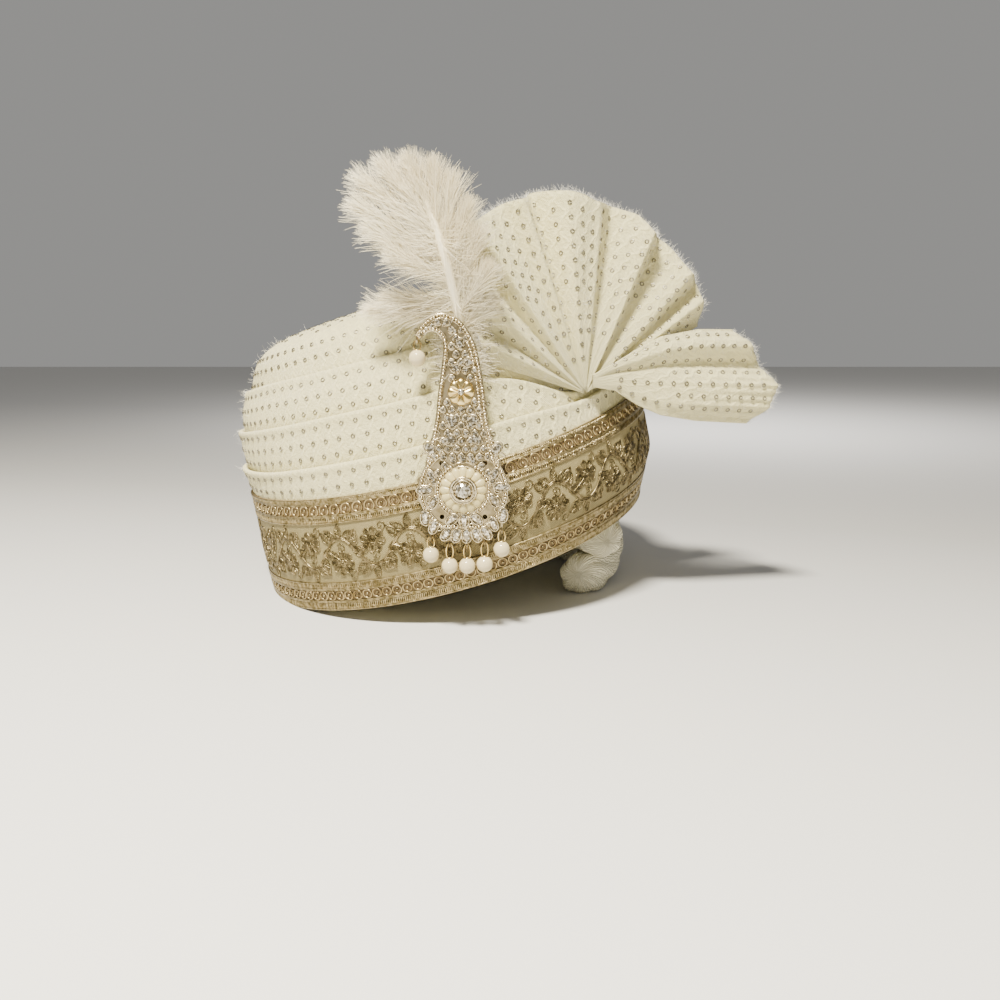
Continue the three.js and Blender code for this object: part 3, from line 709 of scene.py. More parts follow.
def mix_colours(tree, share, first, second):
    node = add_node(tree, "ShaderNodeMix", {"Factor": share}, data_type="RGBA")
    colours = [socket for socket in node.inputs if socket.type == "RGBA"]
    for socket, value in zip(colours, (first, second)):
        if isinstance(value, tuple):
            socket.default_value = (*value, 1.0)
        else:
            tree.links.new(value, socket)
    return next(socket for socket in node.outputs if socket.type == "RGBA")


def shader_group(name, output, **inputs):
    tree = bpy.data.node_groups.new(name, "ShaderNodeTree")
    for label, kind in inputs.items():
        tree.interface.new_socket(label, in_out="INPUT", socket_type="NodeSocket" + kind)
    tree.interface.new_socket(output, in_out="OUTPUT", socket_type="NodeSocketFloat")
    return tree, tree.nodes.new("NodeGroupInput"), tree.nodes.new("NodeGroupOutput")


def grain_and_glint_group():
    """Random grains all through a solid, which are tone in plain colours and painted glints in metal: a
    noise, cut off at Low and raised by Gain.
    """
    tree, entry, leave = shader_group(
        "grain_and_glint", "Mask", Vector="Vector", Scale="Float", Low="Float", Gain="Float")
    patch = noise_node(tree, entry.outputs["Vector"], entry.outputs["Scale"], 2.0)
    above = math_node(tree, "SUBTRACT", patch, entry.outputs["Low"])
    spread = math_node(tree, "MULTIPLY", above, entry.outputs["Gain"])
    mask = math_node(tree, "MINIMUM", math_node(tree, "MAXIMUM", spread, 0.0), 1.0)
    tree.links.new(mask, leave.inputs["Mask"])
    return tree


def weave_group():
    """Fine woven threads with a raised ogee lattice. The vector runs in millimetres over the cloth."""
    tree, entry, leave = shader_group("ogee_weave", "Height", Vector="Vector", Lattice="Float")
    u, v = split_vector(tree, entry.outputs["Vector"])
    wave = math_node(tree, "MULTIPLY", sine_node(tree, v, SEQUIN_PITCH), LATTICE_BEND)
    across = math_node(tree, "MULTIPLY", math_node(tree, "ADD", u, wave), 1.0 / SEQUIN_PITCH)
    down = math_node(tree, "MULTIPLY", v, 0.5 / SEQUIN_PITCH)
    ridges = []
    for kind in ("ADD", "SUBTRACT"):
        line = math_node(tree, "FRACT", math_node(tree, kind, across, down))
        away = math_node(tree, "ABSOLUTE", math_node(tree, "SUBTRACT", line, 0.5))
        ridge = math_node(tree, "SUBTRACT", 1.0, math_node(tree, "MULTIPLY", away, 5.0))
        ridges.append(math_node(tree, "MAXIMUM", ridge, 0.0))
    lattice = math_node(tree, "MAXIMUM", ridges[0], math_node(tree, "MULTIPLY", ridges[1], 0.6))
    crossing = math_node(tree, "MULTIPLY", sine_node(tree, u, WARP_PITCH), sine_node(tree, v, WEFT_PITCH))
    weave = math_node(tree, "MULTIPLY", crossing, 0.22)
    fleck = math_node(tree, "MULTIPLY", noise_node(tree, entry.outputs["Vector"], 0.85, 3.0), 1.3)
    raised = math_node(tree, "MULTIPLY", lattice, entry.outputs["Lattice"])
    height = math_node(tree, "ADD", math_node(tree, "ADD", raised, weave), fleck)
    tree.links.new(height, leave.inputs["Height"])
    return tree


WEAVE = weave_group()
GRAIN_AND_GLINT = grain_and_glint_group()
# painted shade: how much darker the colour is made in the low gaps of the weave
GAP_PAINTED_SHADE = 0.80
# cut-off and gain of the painted glints in metal, and the size of the patches in plain colours
METAL_GLINT = (0.36, 3.6)
PLAIN_SCALE = 70.0


def cloth_material(name, colour, shade, lattice, bump):
    material, tree, surface = new_material(name, {
        "Roughness": 0.82, "Sheen Weight": 0.25, "Sheen Roughness": 0.5})
    pattern = add_node(tree, "ShaderNodeGroup", {}, node_tree=WEAVE)
    pattern.inputs["Lattice"].default_value = lattice
    tree.links.new(cloth_vector(tree), pattern.inputs["Vector"])
    patch = noise_node(tree, solid_vector(tree), 22.0, 3.0)
    tone = mix_colours(tree, patch, shade, colour)
    # painted shade: darker copies of the colours, shown where the weave lies low, in its gaps and between the
    # lattice ridges
    painted_gap_shade = mix_colours(tree, patch, tuple(c * GAP_PAINTED_SHADE for c in shade), tuple(c * GAP_PAINTED_SHADE for c in colour))
    lit = mix_colours(tree, pattern.outputs["Height"], painted_gap_shade, tone)
    tree.links.new(lit, surface.inputs["Base Color"])
    add_relief(tree, surface, pattern.outputs["Height"], bump, 0.0014)
    return material


def yarn_material(name, colour, shade):
    """Silky yarn: fine lines that run along a strand and turn slowly round it, with painted shade in the
    grooves between them.
    """
    material, tree, surface = new_material(name, {"Roughness": 0.55})
    place = cloth_vector(tree)
    u, v = split_vector(tree, place)
    twisted = math_node(tree, "ADD", u, math_node(tree, "MULTIPLY", v, 0.55))
    stray = math_node(tree, "MULTIPLY", noise_node(tree, place, 0.25, 2.0), 4.0)
    line = math_node(tree, "SINE", math_node(tree, "MULTIPLY", math_node(tree, "ADD", twisted, stray), 3.6))
    height = math_node(tree, "ADD", math_node(tree, "MULTIPLY", line, 0.5), 0.5)
    # painted shade: the colour runs from the shade colour in the grooves to the yarn colour on the raised
    # lines
    tree.links.new(mix_colours(tree, height, shade, colour), surface.inputs["Base Color"])
    add_relief(tree, surface, height, 0.8, 0.0008)
    return material


def grain_and_glint_material(name, colour, shade, values, scale, low, gain):
    material, tree, surface = new_material(name, values)
    grain_and_glint = add_node(tree, "ShaderNodeGroup", {}, node_tree=GRAIN_AND_GLINT)
    for label, value in (("Scale", scale), ("Low", low), ("Gain", gain)):
        grain_and_glint.inputs[label].default_value = value
    tree.links.new(solid_vector(tree), grain_and_glint.inputs["Vector"])
    # the grains give random tone in plain colours and painted glints in metal
    tree.links.new(mix_colours(tree, grain_and_glint.outputs["Mask"], shade, colour), surface.inputs["Base Color"])
    return material


def metal_material(name, colour, dark, roughness, scale=260.0):
    """Worked metal or metal thread with painted glints: its colour runs from dark to bright in random grains.
    """
    values = {"Roughness": roughness, "Metallic": 1.0}
    return grain_and_glint_material(name, colour, dark, values, scale, *METAL_GLINT)


def plain_material(name, colour, shade, roughness):
    """One soft colour that varies a little over the surface."""
    return grain_and_glint_material(name, colour, shade, {"Roughness": roughness}, PLAIN_SCALE, 0.0, 1.0)


def crystal_material():
    """Clear cut stones: painted reflections, bright and dark patches at random, stand in for the sparkle of
    small set crystals.
    """
    material, tree, surface = new_material("clear_crystal", {
        "Metallic": 0.75, "Roughness": 0.07, "Coat Weight": 1.0, "Coat Roughness": 0.02})
    # painted reflections: each patch of a stone is either bright or dark
    facet_reflection = math_node(tree, "GREATER_THAN", noise_node(tree, solid_vector(tree), 900.0, 1.0), 0.52)
    tone = mix_colours(tree, facet_reflection, (0.20, 0.17, 0.11), (0.86, 0.80, 0.66))
    tree.links.new(tone, surface.inputs["Base Color"])
    return material


def lace_material():
    """The lace ground: cream net in the field, copper in the ring rows and champagne under the braids."""
    material, tree, surface = new_material("lace_ground", {"Roughness": 0.7})
    place = cloth_vector(tree)
    along, above = split_vector(tree, place)

    def between(low, high):
        over = math_node(tree, "GREATER_THAN", above, low)
        return math_node(tree, "MULTIPLY", over, math_node(tree, "LESS_THAN", above, high))

    net = math_node(tree, "MULTIPLY", sine_node(tree, along, NET_PITCH), sine_node(tree, above, NET_PITCH))
    patch = noise_node(tree, place, 0.8, 3.0)
    cream = mix_colours(tree, patch, (0.25, 0.20, 0.08), (0.36, 0.30, 0.14))
    copper = mix_colours(tree, patch, (0.15, 0.10, 0.045), (0.28, 0.20, 0.09))
    holes = math_node(tree, "GREATER_THAN", net, 0.25)
    cream = mix_colours(tree, holes, cream, (0.17, 0.13, 0.055))
    tone = mix_colours(tree, between(FIELD[0] - 0.2, FIELD[1] + 0.2), copper, cream)
    for low, high in BRAIDS:
        tone = mix_colours(tree, between(low, high), tone, (0.20, 0.15, 0.07))
    tree.links.new(tone, surface.inputs["Base Color"])
    add_relief(tree, surface, net, 0.5, 0.0003)
    return material


# Sequins

# rows below each folded edge: number, depth of the first, and room kept to the next edge and to the lace
WINDING_ROWS = 9
FIRST_ROW = 4.0
LEDGE_CLEAR = 1.2
LACE_CLEAR = 1.4
# rows on the side of the dome: height of the first, and distance against the pitch
DOME_FIRST_ROW = 120.0
DOME_ROW_SHARE = 0.92
# rows over the top: number to each side of the middle, and nearest and farthest distance from it
TOP_ROWS = 14
TOP_FIELD = (6.0, 80.0)
# columns of the fan in degrees, radius of the first row, number of rows and margin at the rim
FAN_COLUMNS = (30.0, 161.0)
FAN_COLUMN_STEP = 4.1
FAN_FIRST_ROW = 18.0
FAN_ROWS = 14
FAN_MARGIN = 2.5
# distances between columns below which every second and every fourth one is kept
FAN_THINNING = (3.6, 1.8)
# columns of the tail as shares across, its rows, and the shares where columns are thinned out and end
TAIL_COLUMNS = (0.06, 0.97, 0.135)
TAIL_FIRST_ROW = 14.0
TAIL_ROWS = 13
TAIL_REACH = 98.0
TAIL_CROWDED = 0.42
TAIL_FIELD_END = 0.96
# how far a sequin stands off the cloth
SEQUIN_LIFT = {"winding": 0.15, "dome": 0.5, "top": 0.45, "sheet": 0.12}


def dome_sequin_places():
    """Straight staggered rows over the flat top of the dome."""
    rows = np.arange(-TOP_ROWS, TOP_ROWS + 1)
    row, column = np.meshgrid(rows, rows * SEQUIN_PITCH, indexing="ij")
    x = (column + 0.5 * SEQUIN_PITCH * (row % 2)).ravel()
    y = (row * SEQUIN_PITCH).ravel() / PLAN_BREADTH
    half = (np.abs(x) ** PLAN_SQUARENESS + np.abs(y) ** PLAN_SQUARENESS) ** (1.0 / PLAN_SQUARENESS)
    heights = np.linspace(146.8, DOME_EDGE, 80)
    height = np.interp(half, profile_at(1, heights), heights)
    kept = (half < TOP_FIELD[1]) & (half > TOP_FIELD[0])
    return np.arctan2(y, x)[kept], height[kept], np.full(kept.sum(), SEQUIN_LIFT["top"])


def row_angles(row, radius):
    """Angles of one staggered row of sequins round the crown."""
    count = int(round(2.0 * math.pi * radius / SEQUIN_PITCH))
    return (np.arange(count) + 0.5 * (row % 2)) / count * 2.0 * math.pi - math.pi


def crown_sequins():
    """Staggered rows of sequins below each folded edge, and over the dome."""
    groups = []
    for layer in (1, 2, 3):
        for row in range(WINDING_ROWS):
            depth = FIRST_ROW + row * SEQUIN_PITCH
            theta = row_angles(row, WINDING_RADIUS)
            height = ledge_at(layer, theta) - depth
            floor = ledge_at(layer + 1, theta) + LEDGE_CLEAR if layer < 3 else BAND_TOP + LACE_CLEAR
            kept = height > floor
            out = layer * LAYER + wrap_swell(layer, theta, depth) + SEQUIN_LIFT["winding"]
            groups.append((theta[kept], height[kept], out[kept]))
    for row, height in enumerate(np.arange(DOME_FIRST_ROW, DOME_EDGE, SEQUIN_PITCH * DOME_ROW_SHARE)):
        theta = row_angles(row, DOME_ROW_RADIUS)
        theta = theta[height > ledge_at(1, theta) + LEDGE_CLEAR]
        groups.append((theta, np.full(len(theta), height), np.full(len(theta), SEQUIN_LIFT["dome"])))
    groups.append(dome_sequin_places())
    return crown_frames(*(np.concatenate(values) for values in zip(*groups)))


def fan_sequins():
    """Columns along the folds, thinned out towards the root where they crowd."""
    angles = []
    shares = []
    for column, angle in enumerate(np.arange(*FAN_COLUMNS, FAN_COLUMN_STEP)):
        reach = float(eased(np.array(angle), FAN_FOLDS[::-1, 0], FAN_FOLDS[::-1, 1]))
        for row in range(FAN_ROWS):
            radius = FAN_FIRST_ROW + (row + 0.5 * (column % 2)) * SEQUIN_PITCH
            spacing = math.radians(FAN_COLUMN_STEP) * radius
            skip = 1 if spacing > FAN_THINNING[0] else 2 if spacing > FAN_THINNING[1] else 4
            if column % skip or radius > reach - FAN_MARGIN:
                continue
            angles.append(angle)
            shares.append((radius - FAN_ROOT_RADIUS) / (reach - FAN_ROOT_RADIUS))
    return np.array(angles), np.array(shares)


def tail_sequins():
    """Columns along the tail, every other one left out near the gather."""
    across = []
    shares = []
    for column, value in enumerate(np.arange(*TAIL_COLUMNS)):
        for row in range(TAIL_ROWS):
            share = (TAIL_FIRST_ROW + (row + 0.5 * (column % 2)) * SEQUIN_PITCH) / TAIL_REACH
            crowded = share < TAIL_CROWDED and column % 2
            if crowded or share > TAIL_FIELD_END:
                continue
            across.append(value)
            shares.append(share)
    return np.array(across), np.array(shares)


# Lace band

LACE_OUT = BAND_INSIDE + 1.1
# bands of the lace, as heights above the hem
BRAIDS = [(0.0, 5.0), (12.0, 16.0), (48.6, 52.6), (59.6, 62.0)]
# low edge, high edge, pitch and ring radius of the two ring rows
RING_ROWS = [(5.0, 12.0, 5.7, 2.35), (52.6, 59.6, 6.6, 2.6)]
FIELD = (16.0, 48.6)
FIELD_MIDDLE = (FIELD[0] + FIELD[1]) / 2
EDGE_CORDS = (0.5, 4.7, 5.4, 11.7, 12.4, 15.7, 49.0, 52.3, 53.0, 59.2, 59.9, 61.6)
RING_SIZE = 2.6
BRAID_PITCH = 2.3
VINE_WAVES = 19
VINE_SWING = 8.2
STEM_STITCH = 1.5
FLOWER_RADIUS = 6.9
FLOWER_PETALS = 8
FLOWER_DROP = 5.4
LEAF_WIDE = 3.9
# radius of each kind of thread in the lace
THREAD = {"braid": 0.42, "cord": 0.48, "stem": 0.42, "stitch": 0.24, "outline": 0.27, "satin": 0.22,
          "petal satin": 0.21, "eye": 0.36, "stalk": 0.38, "curl": 0.26}
# small curls that fill the hollows round each crest: along, and towards the crest's side
CURLS = [(-5.2, -1.6), (0.2, 2.4), (5.4, -12.4)]
# leaves round each crest of the vine: along, towards the crest's side, direction and length
LEAF_SPRAY = [
    (0.0, 8.4, 1.5, 7.6), (-2.2, 8.0, 2.5, 7.8), (2.2, 8.0, 0.5, 7.8), (5.4, 5.4, 0.9, 8.6),
    (-5.6, 5.4, 2.3, 8.4), (8.2, 2.6, -0.9, 7.4), (7.6, 0.4, 0.1, 7.0), (9.0, 3.4, 1.5, 8.0),
]


def band_lengths():
    theta = np.linspace(-math.pi, math.pi, 1441)
    line = crown_points(theta, np.full_like(theta, 30.0), LACE_OUT)
    steps = np.linalg.norm(np.diff(line, axis=0), axis=1)
    return theta, np.concatenate([[0.0], np.cumsum(steps)])


BAND_THETA, BAND_LENGTH = band_lengths()
BAND_ROUND = BAND_LENGTH[-1]


def lace_place(along, above, lift):
    """A place on the lace from the length round it, the height above its hem, and the lift off it."""
    theta = np.interp(np.mod(along, BAND_ROUND), BAND_LENGTH, BAND_THETA)
    place = crown_points(theta, BAND_HEM + np.asarray(above, dtype=float), LACE_OUT + lift)
    place[..., 2] = np.maximum(place[..., 2], 0.45)
    return place


def lace_frames(along, above, lift):
    return surface_frames(lace_place, along, above, lift, 0.5, 0.5)


def lace_mesh():
    """The lace ribbon itself: one thin closed ring of cloth."""
    heights = np.concatenate([[BAND_HEM], np.linspace(BAND_HEM + 0.6, BAND_TOP - 0.6, 30), [BAND_TOP]])
    outer = [crown_points(THETAS, h, LACE_OUT) for h in heights]
    inner = [crown_points(THETAS, h, BAND_INSIDE) for h in heights[::-1]]
    grid = np.stack(outer + inner)
    tall = np.concatenate([heights, heights[::-1], heights[:1]]) - BAND_HEM
    uv = uv_grid(ROUND_SHARES * BAND_ROUND, tall[:, None])
    return tidy_mesh(grid_mesh("lace_ribbon", grid, uv, round_columns=True, round_rows=True))


def add_braid(threads, low, high):
    """Two cords that cross each other all along a narrow braid."""
    middle = (low + high) / 2
    swing = (high - low) / 2 - 0.5
    waves = int(BAND_ROUND / BRAID_PITCH)
    along = np.linspace(0.0, BAND_ROUND, waves * 5 + 1)
    phase = 2.0 * math.pi * waves * along / BAND_ROUND
    for start in (0.0, math.pi):
        above = middle + swing * np.sin(phase + start)
        threads.add(lace_place(along, above, 0.32 + 0.16 * np.cos(phase + start)), THREAD["braid"])


def add_edge_cord(threads, above):
    along = np.linspace(0.0, BAND_ROUND, 421)
    threads.add(lace_place(along, np.full_like(along, above), 0.35), THREAD["cord"])


def turned(along, above, angle, x, y):
    c = math.cos(angle)
    s = math.sin(angle)
    return along + x * c - y * s, above + x * s + y * c


def add_leaf(threads, along, above, angle, long, wide):
    """A pointed leaf: an outline, and slanting satin stitches on both sides of its midrib."""
    share = np.linspace(0.0, 1.0, 8)
    half = wide / 2 * np.sin(math.pi * share ** 0.85)
    x = np.concatenate([share, share[-2::-1]]) * long
    y = np.concatenate([half, -half[-2::-1]])
    threads.add(lace_place(*turned(along, above, angle, x, y), 0.34), THREAD["outline"])
    for value in np.linspace(0.08, 0.78, 5):
        reach = wide / 2 * math.sin(math.pi * min(1.0, value + 0.16) ** 0.85)
        for side in (-1.0, 1.0):
            x = np.array([value, value + 0.16]) * long
            y = np.array([0.0, side * reach * 0.92])
            threads.add(lace_place(*turned(along, above, angle, x, y), 0.24), THREAD["satin"])


def add_flower(threads, along, above, radius, turn):
    """A rosette of looped petals with stitched middles round a coiled eye."""
    for petal in range(FLOWER_PETALS):
        angle = turn + 2.0 * math.pi * petal / FLOWER_PETALS
        loop = np.linspace(0.0, 2.0 * math.pi, 10)
        x = radius * (0.66 - 0.34 * np.cos(loop))
        y = radius * 0.27 * np.sin(loop)
        threads.add(lace_place(*turned(along, above, angle, x, y), 0.36), THREAD["outline"])
        for slant in (-0.11, 0.0, 0.11):
            x = np.array([0.36, 0.95]) * radius
            y = np.array([slant * 0.5, slant]) * radius
            threads.add(lace_place(*turned(along, above, angle, x, y), 0.24), THREAD["petal satin"])
    coil = np.linspace(0.0, 4.0 * math.pi, 22)
    reach = radius * (0.06 + 0.24 * coil / coil[-1])
    eye = lace_place(along + reach * np.cos(coil), above + reach * np.sin(coil), 0.5)
    threads.add(eye, THREAD["eye"])


def vine_height(along):
    return FIELD_MIDDLE + VINE_SWING * np.sin(2.0 * math.pi * VINE_WAVES * along / BAND_ROUND)


def add_vine(threads):
    """A waving stem with a flower in each hollow of the wave, and sprays of leaves."""
    line = np.linspace(0.0, BAND_ROUND, VINE_WAVES * 26 + 1)
    for shift in (-0.42, 0.42):
        threads.add(lace_place(line, vine_height(line) + shift, 0.36), THREAD["stem"])
    for spot in np.arange(0.0, BAND_ROUND, STEM_STITCH):
        slant = np.array([-0.7, 0.7])
        height = vine_height(spot) + np.array([-1.35, 1.35])
        threads.add(lace_place(spot + slant, height, 0.3), THREAD["stitch"])
    wave = BAND_ROUND / VINE_WAVES
    stalk = np.linspace(0.0, 1.0, 8)
    coil = np.linspace(0.0, 8.5, 16)
    reach = 0.5 + 0.29 * coil
    chance = random.Random(4)
    for half in range(2 * VINE_WAVES):
        crest = (half + 0.5) * wave / 2
        side = 1.0 if half % 2 == 0 else -1.0
        flower_height = FIELD_MIDDLE - side * FLOWER_DROP
        add_flower(threads, crest, flower_height, FLOWER_RADIUS, chance.uniform(0.0, 0.7))
        stalk_foot = vine_height(crest - wave * 0.23)
        stalk_along = crest - wave * 0.23 * (1.0 - stalk) ** 1.5
        stalk_above = stalk_foot * (1 - stalk) + flower_height * stalk
        threads.add(lace_place(stalk_along, stalk_above, 0.34), THREAD["stalk"])
        for offset, rise in CURLS:
            curl_above = FIELD_MIDDLE + side * (rise + reach * np.sin(coil))
            threads.add(lace_place(crest + offset + reach * np.cos(coil), curl_above, 0.3), THREAD["curl"])
        for offset, rise, angle, long in LEAF_SPRAY:
            add_leaf(threads, crest + offset, FIELD_MIDDLE + side * rise, side * angle, long, LEAF_WIDE)


def lace_ring_points():
    alongs = []
    aboves = []
    sizes = []
    for low, high, pitch, radius in RING_ROWS:
        count = int(round(BAND_ROUND / pitch))
        alongs.append(np.arange(count) * BAND_ROUND / count)
        aboves.append(np.full(count, (low + high) / 2))
        sizes.append(np.full(count, radius / RING_SIZE))
    return np.concatenate(alongs), np.concatenate(aboves), np.concatenate(sizes)


# Brooch

BROOCH = np.array([16.4, -107.5, 72.4])
BROOCH_LEAN = math.radians(4.3)
PLATE_FRONT = -2.4
STEM_INNER = [(-13.2, 31.5), (-11.4, 46.2), (-9.1, 62.8), (-9.2, 70.5), (-12.6, 74.6), (-16, 74.6),
              (-20.4, 71.6)]
STEM_OUTER = [(-22, 73.6), (-18.3, 78.4), (-13, 82.2), (-7.3, 82.6), (-0.8, 79.3), (4.2, 72), (7, 64.6),
              (10.2, 46.2), (12, 31.5)]
HOOK_MIDDLE = [(-19.4, 73.4), (-15.6, 76.4), (-11.4, 78.2), (-6.6, 77.4), (-3.4, 74.6)]
STEM_FOOT = 17.5
STEM_FOOT_Z = 14.0
# x, z, long, wide and turn in degrees of each long stone on the plate
PLATE_STONES = [
    (-18.6, 0, 7, 3.4, 0), (-15, 6.5, 6, 3, 120), (-14.5, -6, 6, 3, 60), (18.4, 1.5, 7, 3.4, 0),
    (15, 7.5, 6, 3, 60), (14.6, -5, 6, 3, 120), (-18.4, -13.4, 6.4, 3.6, 95), (19, -12, 6.4, 3.6, 85),
    (-14.4, -17.8, 6, 3.4, 70), (14.4, -16.4, 6, 3.4, 110), (-5.6, -14.2, 6, 3.4, 40),
    (0.3, -14.8, 6, 3.6, 90), (6.2, -14, 6, 3.4, 140),
    (-8.4, -21.4, 6, 3.6, 55), (-3.6, -22, 6, 3.8, 75), (1.4, -22.2, 6, 3.8, 90),
    (6.4, -21.8, 6, 3.8, 105), (11, -20.8, 6, 3.6, 125), (-16, 20, 6, 4, 125), (16, 20, 6, 4, 55),
    (-6, 24, 5, 4.4, 0), (5.6, 24.4, 5, 4.4, 0), (-5, 33, 5, 4.4, 0), (4.6, 33.4, 5, 4.4, 0),
    (-3.4, 58, 4, 3.6, 0), (2.6, 60.5, 4, 3.6, 0), (-1.4, 69.5, 4, 3.6, 0),
]
GOLD_FLOWER = (-0.8, 46.5)
PEARL_RADIUS = 4.0
# node, x, height of the eye and of the pearl
DROPS = [
    ("drop_pearl_1", -16, -23, -31.8), ("drop_pearl_2", -6.9, -26.4, -37.2),
    ("drop_pearl_3", 1.6, -26.8, -37.2), ("drop_pearl_4", 10.1, -25.6, -36.4),
    ("drop_pearl_5", 18.4, -19.8, -29), ("hook_pearl", -21.4, 70.6, 62.4),
]
DROP_Y = -1.2
# start and end of the arcs of the base on its left and right, in degrees
BASE_ARCS = [(118, 236), (-56, 62)]
MARQUISE_STEPS = 10
# radius of each kind of wire on the brooch
WIRE = {"edge": 0.5, "inner edge": 0.32, "setting": 0.42, "arc": 0.38, "lattice": 0.34, "scroll": 0.42,
        "ring": 0.34, "low ring": 0.36, "loop": 0.42, "cap": 0.36}


def brooch_place(x, y, z):
    x, y, z = np.broadcast_arrays(*(np.asarray(v, dtype=float) for v in (x, y, z)))
    c = math.cos(BROOCH_LEAN)
    s = math.sin(BROOCH_LEAN)
    return BROOCH + np.stack([x, y * c + z * s, z * c - y * s], axis=-1)


def smooth_line(points, steps):
    """A soft line through the points of a list."""
    points = np.asarray(points, dtype=float)
    padded = np.concatenate([[2 * points[0] - points[1]], points, [2 * points[-1] - points[-2]]])
    line = []
    for k in range(1, len(padded) - 2):
        a, b, c, d = padded[k - 1:k + 3]
        for t in np.arange(steps) / steps:
            line.append(0.5 * (2 * b + (c - a) * t + (2 * a - 5 * b + 4 * c - d) * t * t
                               + (3 * b - a - 3 * c + d) * t ** 3))
    line.append(points[-1])
    return np.array(line)


def resampled(line, pitch):
    lengths = np.concatenate([[0.0], np.cumsum(np.linalg.norm(np.diff(line, axis=0), axis=1))])
    stops = np.linspace(0.0, lengths[-1], max(2, int(round(lengths[-1] / pitch)) + 1))
    return np.stack([np.interp(stops, lengths, line[:, k]) for k in range(line.shape[1])], axis=-1)


def stem_outline():
    inner = smooth_line([(-STEM_FOOT, STEM_FOOT_Z)] + STEM_INNER, 8)
    outer = smooth_line(STEM_OUTER + [(STEM_FOOT, STEM_FOOT_Z)], 8)
    return np.concatenate([inner, outer])


def moved_in(line, distance):
    """The same line, moved to its right-hand side."""
    step = np.gradient(line, axis=0)
    step = step / np.maximum(np.linalg.norm(step, axis=1, keepdims=True), 1e-9)
    return line + distance * np.stack([step[:, 1], -step[:, 0]], axis=-1)


def inside_outline(x, z, outline):
    inside = False
    for k in range(len(outline)):
        (ax, az), (bx, bz) = outline[k - 1], outline[k]
        if (az > z) != (bz > z) and x < (bx - ax) * (z - az) / (bz - az) + ax:
            inside = not inside
    return inside


def circle_line(centre, radius, start, stop, steps):
    angle = np.radians(np.linspace(start, stop, steps))
    return np.stack([centre[0] + radius * np.cos(angle), centre[1] + radius * np.sin(angle)], axis=-1)


def brooch_points(name, spots, lift, sizes):
    """Points on the front of the plate that face forwards."""
    spots = np.asarray(spots, dtype=float)
    places = brooch_place(spots[:, 0], PLATE_FRONT - lift, spots[:, 1])
    front = brooch_place(0, -1, 0) - brooch_place(0, 0, 0)
    side = brooch_place(1, 0, 0) - brooch_place(0, 0, 0)
    count = len(spots)
    return points_mesh(name, places, np.tile(front, (count, 1)), np.tile(side, (count, 1)),
                       np.broadcast_to(np.asarray(sizes, dtype=float), (count,)))


def milgrain_spots():
    """Small beads along both edges of the stem and in double arcs round the base."""
    outline = stem_outline()
    spots = [resampled(moved_in(outline, 0.9), 1.55)]
    right = outline[outline[:, 0] > -8.0]
    spots.append(resampled(moved_in(right[len(right) // 3:], 2.9), 1.5))
    for start, stop in BASE_ARCS:
        for radius in (20.4, 12.4):
            spots.append(resampled(circle_line((0, 0), radius, start, stop, 40), 1.6))
    spots.append(resampled(np.array([(-10.5, -17.8), (10.5, -17.8)]), 1.5))
    return np.concatenate(spots)


def crystal_spots():
    """Round crystals packed into the stem, clear of its edges and of the gold flower."""
    outline = stem_outline()
    spots = []
    sizes = []
    for row, z in enumerate(np.arange(16.0, 80.0, 3.7)):
        for x in np.arange(-18.0, 18.0, 4.3):
            x = x + 2.15 * (row % 2)
            near = np.min(np.hypot(outline[:, 0] - x, outline[:, 1] - z))
            from_flower = math.hypot(x - GOLD_FLOWER[0], z - GOLD_FLOWER[1])
            if near > 2.6 and from_flower > 7.2 and inside_outline(x, z, outline):
                spots.append((x, z))
                sizes.append(min(1.0, max(0.62, near / 3.6)))
    arch = circle_line((0, 0), 14.6, 16, 164, 9).tolist()
    hook = resampled(smooth_line(HOOK_MIDDLE, 6), 3.1).tolist()
    spots.extend(arch + hook)
    sizes.extend([1.0] * len(arch) + [0.6] * len(hook))
    return np.array(spots), np.array(sizes)


def marquise_outline(x, z, long, wide, turn, steps):
    angle = np.linspace(0.0, 2.0 * math.pi, steps, endpoint=False)
    along = long / 2 * np.sign(np.cos(angle)) * np.abs(np.cos(angle)) ** 0.85
    across = wide / 2 * np.sin(angle)
    c = math.cos(math.radians(turn))
    s = math.sin(math.radians(turn))
    return np.stack([x + along * c - across * s, z + along * s + across * c], axis=-1)


def marquise_mesh():
    """The long cut stones on the plate, one closed frustum each."""
    steps = MARQUISE_STEPS
    places = []
    faces = []
    for x, z, long, wide, turn in PLATE_STONES:
        start = len(places)
        for scale, lift in ((1.0, -0.3), (1.0, 0.7), (0.55, 1.75)):
            ring = marquise_outline(x, z, long * scale, wide * scale, turn, steps)
            places.extend(brooch_place(ring[:, 0], PLATE_FRONT - lift, ring[:, 1]).tolist())
        for level in (0, 1):
            for k in range(steps):
                a = start + level * steps + k
                b = start + level * steps + (k + 1) % steps
                faces.append((a, b, b + steps, a + steps))
        faces.append(tuple(range(start, start + steps)))
        faces.append(tuple(range(start + 2 * steps, start + 3 * steps)))
    mesh = bpy.data.meshes.new("marquise_stones")
    mesh.from_pydata(to_row(places).tolist(), [], faces)
    tidy_mesh(mesh).shade_flat()
    return mesh


